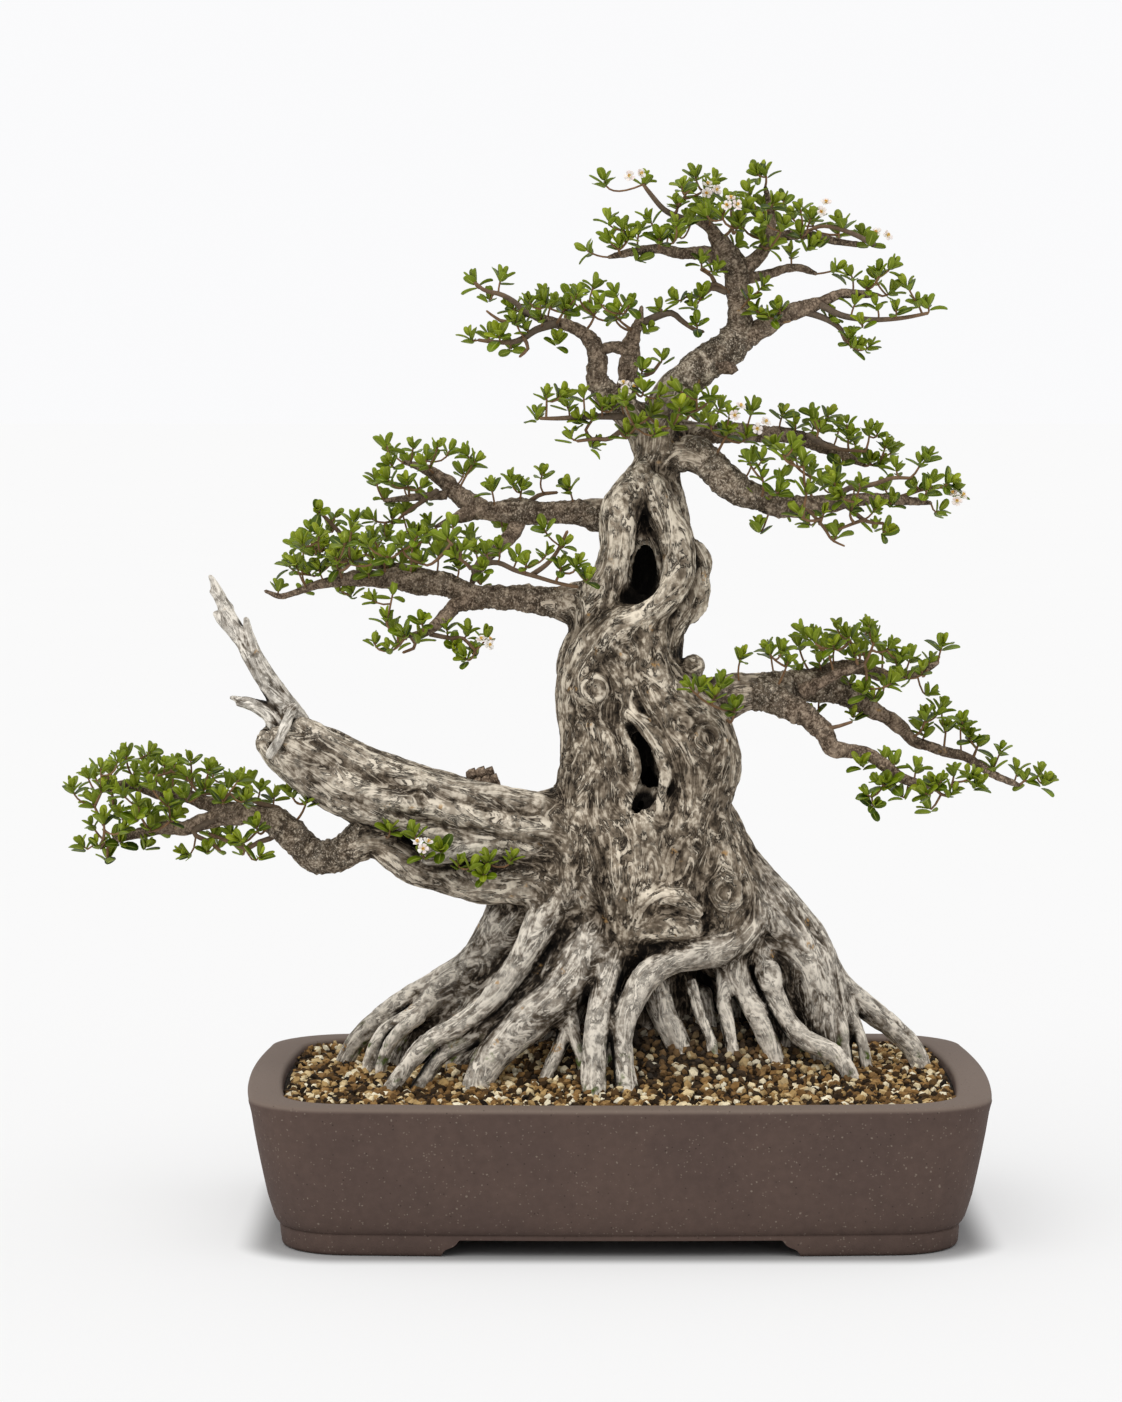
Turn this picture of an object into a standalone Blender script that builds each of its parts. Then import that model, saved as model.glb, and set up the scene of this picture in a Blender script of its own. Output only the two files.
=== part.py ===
"""A bonsai tree in a shallow unglazed clay pot.

Metres, +Z up, front towards -Y. The pot is modelled about its own centre, and the
last step moves everything so that the origin is the centre of the model's footprint.
The tree's strokes and foliage are measured in millimetres on a front elevation:
a point is (x, z, depth), where depth is how far it lies behind the pot's long axis.
"""
import math

import bmesh
import bpy
from mathutils import Matrix, Vector

MM = 0.001

# Pot: a rounded rectangle with slightly bowed sides
RIM_LENGTH = 0.360
RIM_DEPTH = 0.252
POT_HEIGHT = 0.072
CORNER_RADIUS = 0.042
SIDE_BOW = 0.004
CORNER_STEPS = 5
SIDE_STEPS = 2
CORNER_TAPER = 0.55
FLOOR_TOP = 0.016
FLOOR_INSET = 0.042
UNDERSIDE = 0.009
UNDERSIDE_INSET = 0.0274
FOOT_CUT_HALF_LENGTH = 0.084
FOOT_CUT_HALF_DEPTH = 0.048
FOOT_CURL = [(0.0, -2.0), (0.0, 0.6), (1.6, 3.0), (5.0, 4.6), (7.2, 6.4), (8.4, 8.0)]
HOLE_CUT_LOW = 0.002
HOLE_CUT_HIGH = 0.030
DRAIN_HOLE_SIDES = 24
WIRE_HOLE_SIDES = 10
SHARP_ANGLE = 35
DRAIN_HOLE_RADIUS = 0.0125
DRAIN_HOLE_X = 0.085
WIRE_HOLE_RADIUS = 0.0025
WIRE_HOLE_PLACES = [(-0.035, -0.045), (-0.035, 0.045), (0.035, -0.045), (0.035, 0.045)]

# Pot wall: how far each level lies inside the rim's outline, and its height, in mm
OUTER_WALL = [(26.0, 0.6), (25.2, 0.0), (17.0, 0.0), (15.2, 1.6), (14.6, 9.4), (15.2, 10.2),
              (13.8, 11.2), (12.0, 14.0), (8.7, 25.0), (4.4, 46.0), (1.2, 65.0), (0.0, 68.5),
              (0.0, 70.4), (1.6, 72.0)]
INNER_WALL = [(15.0, 72.0), (16.4, 70.8), (18.6, 60.0), (24.6, 24.0), (31.0, 16.6)]

# Soil
FITTING_GAP = 0.0005
POCKET_LOW = 0.010
POCKET_HIGH = 0.0215
SOIL_WALL = [(31.6, 16.6), (25.2, 24.0), (19.2, 60.0), (17.2, 69.0)]
SOIL_EDGE_HEIGHT = 0.0700
MOUND_HEIGHT = 0.034
MOUND_CENTRE = (0.026, 0.010)
MOUND_SPREAD = (0.066, 0.050)
SOIL_RINGS = 7

# Drainage screens and the wire clips that hold them
SCREEN_HOLES = 5
SCREEN_BAR = 0.0014
SCREEN_HOLE = 0.0046
SCREEN_THICKNESS = 0.0010
SEAT_GAP = 0.0004
CLIP_WIRE_RADIUS = 0.0008
CLIP_FOOT_END = 0.018
CLIP_FOOT_MIDDLE = 0.010
CLIP_BEND = 0.0014

# Wood and foliage meshing
WOOD_VOXEL = 0.0021
WOOD_TRIANGLES = 4800
CLEARANCE = 1.8
CLEARANCE_TRIANGLES = 5200
FOLIAGE_VOXEL = 0.0038
FOLIAGE_TRIANGLES = 210
FOLIAGE_CLEARANCE = 2.2
FLOWER_CLEARANCE = 0.0088

# The elevation's viewpoint: things behind the pot's long axis spread away from it
VIEWPOINT = Vector((-0.028, -2.193, 0.410))

# Each stroke of wood is a round bar through (x, z, depth, radius), in mm
TRUNK = [
    [(24, 52, 14, 22), (20, 90, 12, 28), (16, 125, 6, 34), (12, 158, 2, 38), (10, 190, 0, 37)],
    [(-14, 92, 10, 8), (-26, 128, 2, 18), (-24, 160, -4, 26), (-14, 200, -5, 26), (-2, 240, -4, 27),
     (-3, 268, -2, 26), (-4, 292, 0, 24), (2, 312, 2, 18), (6, 335, 4, 14)],
    [(46, 92, 12, 8), (56, 128, 5, 20), (46, 160, 4, 30), (30, 200, 4, 26), (33, 232, 4, 27),
     (20, 262, 3, 24), (14, 290, 2, 23), (18, 318, 2, 19), (17, 345, 3, 15), (16, 364, 3, 12),
     (17, 382, 3, 9)],
    [(30, 255, 0, 14), (36, 271, -2, 9)],
]
LIMB = [
    [(-10, 188, -6, 27), (-46, 189, -10, 18), (-74, 197, -12, 17), (-100, 205, -12, 17),
     (-124, 211, -12, 20), (-144, 222, -12, 18), (-160, 231, -12, 13), (-167, 232, -12, 10)],
    [(-20, 166, -6, 24), (-56, 166, -10, 13), (-82, 169, -10, 10), (-104, 176, -9, 9),
     (-114, 184, -9, 9)],
    [(-56, 175, -16, 8), (-98, 173, -24, 9)],
    [(-60, 208, -10, 6), (-66, 213, -12, 6)],
]
DEADWOOD = [
    [(-158, 236, -12, 9), (-164, 250, -12, 6.5), (-173, 265, -11, 5), (-184, 284, -10, 4),
     (-191, 297, -9, 3.4), (-196, 308, -8, 2.4), (-199, 313, -8, 1.7)],
    [(-176, 272, -11, 3.4), (-180, 284, -12, 2.6), (-181, 292, -13, 1.8)],
    [(-188, 288, -10, 3), (-195, 295, -9, 2)],
    [(-166, 236, -13, 5), (-171, 246, -14, 3.6), (-180, 252, -15, 2.6), (-188, 255, -15, 1.8)],
]
ROOTS = [
    [(60, 165, 0, 16), (80, 150, 2, 11), (92, 140, 4, 8), (105, 118, 8, 6.5), (120, 104, 12, 6),
     (135, 92, 16, 5.5), (147, 79, 18, 5), (151, 60, 20, 4)],
    [(70, 150, -6, 13), (90, 128, -6, 9), (98, 105, -6, 9), (100, 86, -6, 8), (102, 58, -6, 7)],
    [(60, 140, -10, 9), (70, 128, -14, 6), (78, 105, -18, 5), (90, 88, -22, 5),
     (108, 78, -26, 4.5), (118, 60, -28, 4)],
    [(55, 125, -14, 8), (62, 110, -18, 5.5), (70, 95, -22, 5), (84, 60, -26, 4)],
    [(60, 130, -16, 9), (50, 125, -20, 6.5), (35, 122, -24, 6), (22, 115, -28, 6),
     (12, 103, -32, 6), (5, 90, -34, 5.5), (2, 78, -36, 5), (6, 58, -36, 4.5)],
    [(54, 124, -16, 5), (52, 105, -22, 3.4), (55, 88, -26, 3.2), (60, 60, -30, 3)],
    [(15, 125, -14, 9), (22, 100, -22, 6.5), (28, 88, -26, 6), (36, 58, -30, 5)],
    [(-5, 125, -20, 9), (-6, 105, -28, 6), (-7, 90, -32, 5), (-6, 58, -36, 4.5)],
    [(-10, 105, -24, 6), (-13, 85, -34, 4.5), (-14, 58, -38, 4)],
    [(-15, 170, -18, 11), (-35, 148, -22, 9), (-45, 130, -26, 7), (-55, 115, -30, 6),
     (-65, 103, -34, 5.5), (-80, 92, -38, 5), (-95, 84, -42, 4.5), (-112, 62, -46, 4)],
    [(-15, 140, -16, 11), (-35, 118, -22, 8), (-48, 105, -26, 6), (-60, 94, -30, 5),
     (-75, 85, -34, 4.5), (-88, 77, -38, 4), (-100, 60, -40, 4)],
    [(-46, 150, 8, 18), (-58, 138, 12, 12), (-72, 124, 18, 8.5), (-88, 115, 24, 6.5),
     (-105, 105, 30, 6), (-118, 96, 34, 5.5), (-130, 84, 38, 5), (-142, 60, 42, 4)],
    [(-80, 118, 20, 6), (-100, 99, 18, 4.5), (-116, 88, 16, 4), (-126, 60, 14, 4)],
    [(-15, 130, -18, 15), (-28, 110, -28, 12), (-42, 97, -34, 10), (-54, 86, -38, 9),
     (-64, 75, -42, 8), (-74, 56, -46, 6)],
    [(0, 135, 18, 18), (-20, 105, 34, 10), (-34, 84, 46, 7), (-44, 58, 54, 5)],
    [(40, 135, 20, 16), (52, 105, 36, 9), (62, 84, 48, 6.5), (72, 58, 56, 5)],
    [(18, 120, 22, 14), (14, 96, 40, 9), (12, 76, 50, 6), (10, 56, 56, 5)],
]
LOWER_BRANCHES = [
    [(-118, 196, -9, 11), (-127, 184, -7, 9), (-136, 178, -4, 8), (-146, 177, -2, 8),
     (-153, 181, 0, 7.5), (-160, 188, 2, 7.5), (-167, 194, 3, 7), (-178, 198, 4, 5),
     (-190, 197, 6, 4.6), (-200, 195, 7, 4.2), (-211, 191, 8, 3.6), (-222, 191, 8, 3.1),
     (-236, 188, 8, 2.5)],
    [(-186, 198, 5, 4.4), (-200, 203, 11, 3.8), (-212, 207, 16, 3.4), (-224, 208, 20, 3),
     (-240, 212, 22, 2.5)],
    [(36, 248, 4, 14), (54, 256, 2, 9.5), (70, 257, 0, 8.5), (81, 252, -4, 6.5),
     (92, 246, -8, 5), (100, 239, -10, 4.6), (104, 231, -12, 4.2), (112, 229, -12, 3.6),
     (122, 227, -14, 3.3), (130, 222, -15, 3), (140, 215, -16, 2.7), (152, 211, -16, 2.4)],
    [(66, 258, 4, 9), (85, 261, 8, 7.5), (100, 260, 12, 7), (112, 256, 14, 6),
     (122, 250, 16, 4.4), (130, 246, 18, 3.5), (138, 240, 20, 3.3), (144, 234, 20, 2.9),
     (154, 230, 22, 2.6), (170, 226, 24, 2.4), (182, 218, 26, 2.2)],
    [(90, 263, 12, 5.5), (104, 268, 18, 4.2), (118, 270, 22, 3.6), (132, 265, 24, 2.8)],
]
MIDDLE_BRANCHES = [
    [(0, 299, 0, 15), (-20, 301, -2, 11), (-32, 301, -3, 8), (-45, 303, -4, 6),
     (-60, 304, -4, 5.2), (-72, 305, -3, 5.5), (-85, 310, 0, 5.6), (-100, 311, 2, 5.2),
     (-115, 313, 4, 4.4), (-130, 313, 4, 3.2), (-144, 311, 5, 2.4)],
    [(-70, 303, -4, 4.6), (-79, 300, -8, 3.8), (-85, 294, -12, 3.2), (-94, 287, -16, 2.4)],
    [(10, 340, 8, 13), (-5, 344, 10, 9), (-20, 345.5, 12, 6.2), (-35, 344.5, 14, 5.5),
     (-48, 346, 16, 6.6), (-60, 346, 18, 4.8), (-70, 346, 20, 4.4), (-78, 343, 18, 3.2),
     (-88, 339, 18, 2.2)],
    [(-68, 347, 20, 4.8), (-78, 354, 22, 4.5), (-85, 361, 24, 3.8), (-93, 366, 26, 2.6)],
    [(-48, 343, 16, 4.2), (-52, 335, 14, 3.6), (-60, 328, 12, 3.2), (-67, 320, 8, 2.6)],
    [(18, 372, 3, 11), (34, 374, 2, 8.5), (43, 370, 0, 8), (50, 363, -2, 8),
     (58, 357, -4, 7.5), (68, 353, -5, 6.5), (78, 349, -6, 6), (90, 348, -6, 4.8),
     (105, 350, -4, 3.8), (120, 352, -2, 3), (138, 351, 0, 2.5)],
    [(17, 386, 6, 8), (38, 384, 18, 5.2), (62, 384, 26, 4.4), (82, 383, 30, 3.8),
     (98, 378, 30, 3.4), (110, 373, 30, 2.6)],
    [(14, 360, 8, 9), (20, 368, 34, 6), (27, 376, 52, 4.4), (30, 383, 72, 3)],
    [(10, 296, 12, 12), (8, 299, 36, 6.5), (6, 303, 54, 4.6), (6, 309, 70, 3)],
]
UPPER_BRANCHES = [
    [(15, 380, 4, 8.5), (8, 390, 4, 8), (0, 398, 4, 8), (-8, 404, 2, 6.6)],
    [(-8, 404, 2, 6), (-11, 412, 2, 4.8), (-10, 421, 2, 4.7), (-13, 428, 2, 4.2),
     (-20, 434, 3, 3), (-36, 439, 6, 2.4)],
    [(0, 397, 4, 6.6), (4, 408, 4, 4.9), (5, 420, 4, 4.6), (7, 430, 4, 4.3), (10, 440, 4, 2.8)],
    [(-10, 423, 2, 2.8), (-4, 425.5, 2, 2.8), (1, 425, 3, 2.8), (5, 422, 4, 2.8)],
    [(17, 378, 3, 9.5), (20, 392, 3, 9), (27, 404, 3, 9.5), (36, 413, 3, 9.5),
     (46, 420, 3, 9.5), (56, 427, 3, 8.5), (58.5, 437, 3, 6.6), (57.5, 447, 3, 5.4),
     (57.5, 456, 3, 5.6), (56, 465, 3, 6.4), (49, 476, 3, 4.6), (44, 484, 3, 3)],
    [(52, 467, 3, 5), (42, 471, 2, 3.4), (30, 471, 0, 2.8), (18, 473, 0, 2.5), (4, 471, 0, 2.3)],
    [(59, 462, 4, 4.5), (68, 470, 5, 3.4), (75, 478, 7, 2.9), (90, 480, 9, 2.5)],
    [(58, 427, 3, 7), (70, 435, 2, 4.8), (80, 441, 0, 4.4), (90, 444, 0, 3.7),
     (98, 447, 0, 2.9), (108, 451, 0, 2.5)],
    [(46, 418, 0, 5), (55, 415, -3, 3)],
]

# The two old wounds in the front of the trunk: (x, z, depth, half x, half z, half depth), in mm
HOLLOWS = [(13, 221, -26, 5, 25, 12), (12, 318, -20, 7, 16, 10)]

# Each foliage cloud is a union of ellipsoids (x, z, depth, half x, half z, half depth), in mm
FOLIAGE = {
    "foliage_low_left": [
        (-255, 213, 14, 15, 12, 20), (-240, 219, 14, 15, 13, 26), (-222, 216, 14, 16, 14, 26),
        (-205, 213, 12, 14, 13, 24), (-190, 210, 8, 14, 11, 20), (-173, 206, 5, 14, 9, 16),
        (-156, 204, -2, 12, 9, 12), (-250, 189, 9, 13, 13, 18), (-236, 197, 9, 14, 13, 22),
        (-221, 199, 8, 13, 11, 22)],
    "foliage_left": [
        (-156, 318, 8, 12, 12, 20), (-150, 329, 8, 15, 11, 24), (-132, 327, 8, 16, 14, 32),
        (-114, 328, 8, 16, 13, 34), (-97, 330, 6, 14, 12, 30), (-82, 325, 2, 13, 10, 24),
        (-144, 344, 10, 7, 10, 8), (-130, 339, 6, 8, 7, 12), (-68, 322, -4, 10, 9, 14)],
    "foliage_left_front": [
        (-58, 324, -24, 9, 8, 9), (-47, 323, -25, 9, 8, 10), (-36, 321, -27, 9, 9, 10),
        (-25, 318, -30, 9, 8, 10), (-16, 314, -34, 7, 5, 7), (-27, 334, -26, 8, 10, 8)],
    "foliage_left_hanging": [
        (-112, 291, -16, 10, 8, 12), (-109, 281, -16, 10, 8, 11), (-98, 290, -16, 11, 7, 12),
        (-85, 289, -14, 10, 6, 9), (-74, 286, -14, 7, 6, 7), (-71, 279, -14, 7, 6, 7)],
    "foliage_upper_left": [
        (-112, 373, 28, 9, 9, 12), (-101, 372, 28, 10, 9, 16), (-88, 372, 26, 11, 9, 18),
        (-77, 368, 24, 9, 10, 16), (-112, 356, 20, 10, 9, 14), (-98, 357, 22, 10, 7, 14)],
    "foliage_upper_left_inner": [
        (-60, 359, 14, 8, 8, 9), (-53, 362, 14, 7, 8, 9), (-45, 357, 14, 8, 6, 8),
        (-37, 362, 12, 7, 8, 9), (-28, 357, 8, 7, 5, 6)],
    "foliage_left_middle": [
        (-76, 334, 14, 8, 8, 14), (-69, 332, 14, 8, 8, 14), (-58, 337, 26, 8, 7, 10),
        (-48, 335, 30, 8, 5, 8)],
    "foliage_low_back": [
        (2, 316, 72, 12, 9, 16), (14, 321, 84, 13, 10, 14), (22, 312, 78, 10, 8, 12)],
    "foliage_twin_stems": [
        (-50, 444, 6, 9, 9, 14), (-39, 446, 6, 10, 9, 20), (-27, 448, 6, 11, 10, 24),
        (-16, 446, 6, 10, 9, 22), (-4, 445, 4, 10, 10, 20), (6, 441, 3, 7, 7, 12),
        (-66, 451, 6, 8, 5, 7), (-70, 459, 6, 6, 6, 7), (-57, 456, 6, 5, 6, 6),
        (-50, 433, 4, 9, 7, 11), (-61, 430, 4, 8, 6, 10), (-70, 430, 4, 6, 5, 8)],
    "foliage_neck_left": [
        (-37, 395, -6, 7, 9, 9), (-28, 399, -6, 9, 9, 11), (-17, 400, -8, 8, 9, 10),
        (-7, 396, -12, 8, 8, 8), (-22, 387, -8, 9, 6, 8), (-9, 385, -12, 7, 6, 7)],
    "foliage_centre": [
        (6, 393, -18, 9, 11, 10), (17, 396, -20, 11, 13, 11), (30, 397, -18, 12, 13, 12),
        (43, 396, -16, 11, 12, 12), (54, 390, -12, 9, 10, 11), (64, 393, -8, 7, 7, 8),
        (20, 383, -22, 9, 6, 8)],
    "foliage_back": [
        (30, 389, 76, 15, 10, 18), (44, 393, 84, 13, 10, 16), (17, 392, 80, 12, 9, 15)],
    "foliage_right_top": [
        (83, 391, 30, 7, 7, 9), (95, 390, 30, 9, 8, 12), (104, 385, 30, 10, 9, 14),
        (115, 380, 30, 11, 9, 16), (127, 377, 30, 8, 8, 12), (121, 369, 30, 8, 7, 9)],
    "foliage_right_middle": [
        (68, 373, -10, 10, 9, 14), (80, 373, -12, 11, 11, 18), (90, 366, -10, 10, 9, 18),
        (76, 361, -14, 9, 8, 10), (100, 360, -8, 11, 9, 22), (113, 356, -6, 10, 8, 22),
        (90, 349, -16, 10, 8, 10), (104, 345, -12, 10, 8, 14), (125, 346, -4, 10, 8, 14),
        (126, 358, 0, 10, 5, 12)],
    "foliage_right_tip": [
        (137, 365, 2, 7, 8, 10), (147, 366, 2, 8, 8, 12), (156, 359, 2, 8, 8, 12),
        (158, 352, 2, 7, 6, 8), (144, 357, 2, 7, 7, 9)],
    "foliage_low_right": [
        (66, 274, -4, 9, 9, 12), (78, 274, 2, 10, 9, 18), (91, 281, 6, 10, 9, 22),
        (104, 281, 10, 11, 10, 26), (119, 282, 12, 11, 11, 26), (132, 277, 14, 10, 9, 22),
        (143, 271, 14, 9, 9, 18), (158, 277, 14, 7, 9, 8), (151, 269, 14, 8, 5, 9),
        (124, 258, 4, 9, 7, 10), (134, 263, 8, 8, 6, 12)],
    "foliage_low_right_front": [
        (38, 257, -40, 7, 6, 7), (48, 258, -40, 9, 8, 9), (59, 256, -32, 7, 6, 7)],
    "foliage_low_right_far": [
        (152, 250, 20, 10, 7, 14), (160, 243, 22, 11, 8, 14), (172, 238, 24, 9, 8, 13),
        (182, 229, 26, 8, 8, 11), (190, 220, 28, 7, 6, 8), (200, 214, 28, 10, 7, 10)],
    "foliage_lowest_right": [
        (120, 219, -18, 7, 7, 8), (128, 212, -18, 9, 8, 11), (126, 204, -18, 9, 6, 9),
        (139, 211, -14, 10, 8, 14), (150, 211, -14, 10, 9, 15), (162, 216, -14, 10, 8, 14),
        (172, 214, -14, 7, 6, 8)],
    "foliage_crown": [
        (-10, 475, 2, 8, 7, 9), (1, 478, 2, 10, 8, 13), (-5, 488, 2, 6, 6, 7),
        (15, 481, 2, 11, 9, 17), (29, 483, 2, 11, 10, 20), (40, 492, 4, 12, 13, 24),
        (55, 492, 5, 12, 12, 26), (68, 486, 6, 12, 12, 26), (81, 488, 8, 11, 10, 22),
        (93, 487, 10, 9, 6, 13), (107, 482, 11, 9, 8, 12), (118, 479, 12, 7, 6, 9),
        (72, 505, 8, 6, 8, 7), (22, 496, 4, 7, 5, 6), (12, 506, 4, 6, 6, 7),
        (82, 474, 4, 12, 7, 14), (97, 471, 4, 8, 7, 10)],
    "foliage_crown_right": [
        (118, 459, 2, 9, 7, 13), (130, 458, 2, 9, 7, 14), (139, 452, 2, 7, 6, 10),
        (148, 445, 2, 6, 6, 8), (133, 442, 0, 12, 6, 12), (116, 441, -2, 9, 6, 11),
        (114, 429, -2, 7, 8, 8)],
    "foliage_crown_left_low": [
        (33, 452, -4, 7, 6, 8), (41, 456, -6, 6, 7, 8), (42, 464, -6, 7, 6, 9)],
    "foliage_crown_front": [
        (70, 456, -10, 7, 6, 8), (74, 449, -10, 7, 6, 8), (68, 443, -8, 6, 5, 7)],
    "foliage_limb_outer": [
        (-113, 189, -36, 7, 7, 8), (-104, 184, -40, 8, 8, 7), (-98, 179, -42, 5, 7, 6)],
    "foliage_limb_inner": [
        (-68, 172, -36, 7, 7, 7), (-57, 176, -34, 8, 8, 7), (-48, 178, -34, 6, 6, 6)],
}

# Open flowers (x, z, depth), in mm, all facing forwards and up
FLOWERS = [(7, 507, -4), (43, 500, -14), (55, 493, -24), (99, 491, -1), (126, 478, 8), (4, 404, -20),
           (57, 393, -24), (68, 386, -12), (165, 351, 0), (-96, 181, -49), (-66, 280, -21)]
FLOWER_RADIUS = 0.0070
FLOWER_THICKNESS = 0.0012
FLOWER_PETALS = 5


def clear_scene():
    """Remove every object that the start-up scene holds."""
    for item in list(bpy.data.objects):
        bpy.data.objects.remove(item, do_unlink=True)


def material(name, colour, roughness, metallic=0.0):
    """A Principled material of one colour."""
    made = bpy.data.materials.new(name)
    made.use_nodes = True
    shader = made.node_tree.nodes["Principled BSDF"]
    shader.inputs["Base Color"].default_value = (*colour, 1.0)
    shader.inputs["Roughness"].default_value = roughness
    shader.inputs["Metallic"].default_value = metallic
    made.diffuse_color = (*colour, 1.0)
    return made


def add_object(name, data, finish=None):
    """Link a mesh or curve into the scene under its name."""
    item = bpy.data.objects.new(name, data)
    bpy.context.scene.collection.objects.link(item)
    if finish is not None:
        data.materials.append(finish)
    return item


def as_cutter(item):
    """Mark an object as a tool that shapes others and isn't part of the model."""
    item.hide_render = True
    item.display_type = "WIRE"
    return item


def mesh_from_bmesh(name, shape):
    """Store a bmesh, with its faces turned outwards, as a mesh."""
    bmesh.ops.recalc_face_normals(shape, faces=shape.faces[:])
    mesh = bpy.data.meshes.new(name)
    shape.to_mesh(mesh)
    shape.free()
    return mesh


def evaluated_mesh(item, name):
    """The mesh that an object's modifiers give, as a mesh of its own."""
    graph = bpy.context.evaluated_depsgraph_get()
    return bpy.data.meshes.new_from_object(item.evaluated_get(graph), depsgraph=graph).copy()


def boolean_cut(item, cutter):
    """Subtract the cutter from the object."""
    cut = item.modifiers.new("cut_" + cutter.name, "BOOLEAN")
    cut.operation = "DIFFERENCE"
    cut.solver = "EXACT"
    cut.object = cutter


def largest_body(mesh):
    """Keep only the body that has the most volume, so that no crumb or bubble is left."""
    shape = bmesh.new()
    shape.from_mesh(mesh)
    bmesh.ops.triangulate(shape, faces=shape.faces[:])
    unseen = set(shape.verts)
    bodies = []
    while unseen:
        seed = unseen.pop()
        body = {seed}
        front = [seed]
        while front:
            corner = front.pop()
            for edge in corner.link_edges:
                other = edge.other_vert(corner)
                if other in unseen:
                    unseen.discard(other)
                    body.add(other)
                    front.append(other)
        faces = {face for corner in body for face in corner.link_faces}
        volume = 0.0
        for face in faces:
            first, second, third = [corner.co for corner in face.verts]
            volume += first.dot(second.cross(third)) / 6.0
        bodies.append((volume, body))
    keep = max(bodies, key=lambda entry: entry[0])[1]
    bmesh.ops.delete(shape, geom=[corner for corner in shape.verts if corner not in keep],
                     context="VERTS")
    shape.to_mesh(mesh)
    shape.free()
    return mesh


def place(x, z, depth):
    """Turn an elevation point in mm into metres at its own depth."""
    on_elevation = Vector((x * MM, 0.0, z * MM))
    reach = (depth * MM - VIEWPOINT.y) / (0.0 - VIEWPOINT.y)
    return VIEWPOINT + (on_elevation - VIEWPOINT) * reach


def outline(inset):
    """The pot's plan, drawn in by an inset: four arcs joined by slightly bowed sides."""
    half_x = RIM_LENGTH / 2 - inset
    half_y = RIM_DEPTH / 2 - inset
    radius = CORNER_RADIUS - CORNER_TAPER * inset
    points = []
    for quarter in range(4):
        turn_x = (1, -1, -1, 1)[quarter]
        turn_y = (1, 1, -1, -1)[quarter]
        centre_x = turn_x * (half_x - SIDE_BOW - radius)
        centre_y = turn_y * (half_y - SIDE_BOW - radius)
        for step in range(CORNER_STEPS + 1):
            angle = math.pi / 2 * (quarter + step / CORNER_STEPS)
            points.append((centre_x + radius * math.cos(angle), centre_y + radius * math.sin(angle)))
        next_x = (-1, -1, 1, 1)[quarter] * abs(centre_x)
        next_y = (1, -1, -1, 1)[quarter] * abs(centre_y)
        start = points[-1]
        end_angle = math.pi / 2 * (quarter + 1)
        end = (next_x + radius * math.cos(end_angle), next_y + radius * math.sin(end_angle))
        for step in range(1, SIDE_STEPS):
            part = step / SIDE_STEPS
            bow = SIDE_BOW * (1 - (2 * part - 1) ** 2)
            points.append((start[0] + (end[0] - start[0]) * part + bow * math.cos(end_angle),
                           start[1] + (end[1] - start[1]) * part + bow * math.sin(end_angle)))
    return points


def add_ring(shape, points, height):
    """Add one closed ring of vertices at a height."""
    return [shape.verts.new((x, y, height)) for x, y in points]


def bridge(shape, lower, upper):
    """Join two rings with quads."""
    count = len(lower)
    for step in range(count):
        after = (step + 1) % count
        shape.faces.new((lower[step], lower[after], upper[after], upper[step]))


def prism(name, profile, axis, half_length):
    """A bar with a drawn section: the profile is (across, height), the bar runs along an axis."""
    shape = bmesh.new()
    ends = []
    for end in (-half_length, half_length):
        if axis == "Y":
            ends.append([shape.verts.new((across, end, height)) for across, height in profile])
        else:
            ends.append([shape.verts.new((end, across, height)) for across, height in profile])
    bridge(shape, ends[0], ends[1])
    shape.faces.new(ends[0])
    shape.faces.new(ends[1])
    return add_object(name, mesh_from_bmesh(name, shape))


def foot_cut_profile(half_width):
    """Half-width to half-width section under the apron, with S-shaped ends, in metres."""
    left = [(-half_width + across * MM, height * MM) for across, height in FOOT_CURL]
    right = [(-across, height) for across, height in reversed(left)]
    return left + right


def hole_cutter(name, radius, spot, sides):
    """An upright cylinder that reaches right through the pot's floor."""
    shape = bmesh.new()
    middle = Matrix.Translation((spot[0], spot[1], (HOLE_CUT_LOW + HOLE_CUT_HIGH) / 2))
    bmesh.ops.create_cone(shape, cap_ends=True, segments=sides, radius1=radius, radius2=radius,
                          depth=HOLE_CUT_HIGH - HOLE_CUT_LOW, matrix=middle)
    return add_object(name, mesh_from_bmesh(name, shape))


def make_pot():
    """The clay pot: one turned-in wall with a foot, feet at the corners and holes in its floor."""
    shape = bmesh.new()
    levels = [(inset * MM, height * MM) for inset, height in OUTER_WALL + INNER_WALL]
    levels = [(UNDERSIDE_INSET, UNDERSIDE)] + levels + [(FLOOR_INSET, FLOOR_TOP)]
    rings = [add_ring(shape, outline(inset), height) for inset, height in levels]
    for lower, upper in zip(rings, rings[1:]):
        bridge(shape, lower, upper)
    shape.faces.new(rings[0])
    shape.faces.new(rings[-1])
    clay = material("fired_clay", (0.085, 0.062, 0.052), 0.85)
    pot = add_object("pot", mesh_from_bmesh("pot", shape), clay)
    cutters = [
        prism("foot_cut_long", foot_cut_profile(FOOT_CUT_HALF_LENGTH), "Y", RIM_DEPTH),
        prism("foot_cut_short", foot_cut_profile(FOOT_CUT_HALF_DEPTH), "X", RIM_LENGTH),
    ]
    for side in (-1, 1):
        cutters.append(hole_cutter(f"drain_hole_{side}", DRAIN_HOLE_RADIUS,
                                   (side * DRAIN_HOLE_X, 0.0), DRAIN_HOLE_SIDES))
    for number, spot in enumerate(WIRE_HOLE_PLACES):
        cutters.append(hole_cutter(f"wire_hole_{number}", WIRE_HOLE_RADIUS, spot, WIRE_HOLE_SIDES))
    for cutter in cutters:
        boolean_cut(pot, as_cutter(cutter))
    pot.data.shade_smooth()
    pot.data.set_sharp_from_angle(angle=math.radians(SHARP_ANGLE))
    return pot


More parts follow.
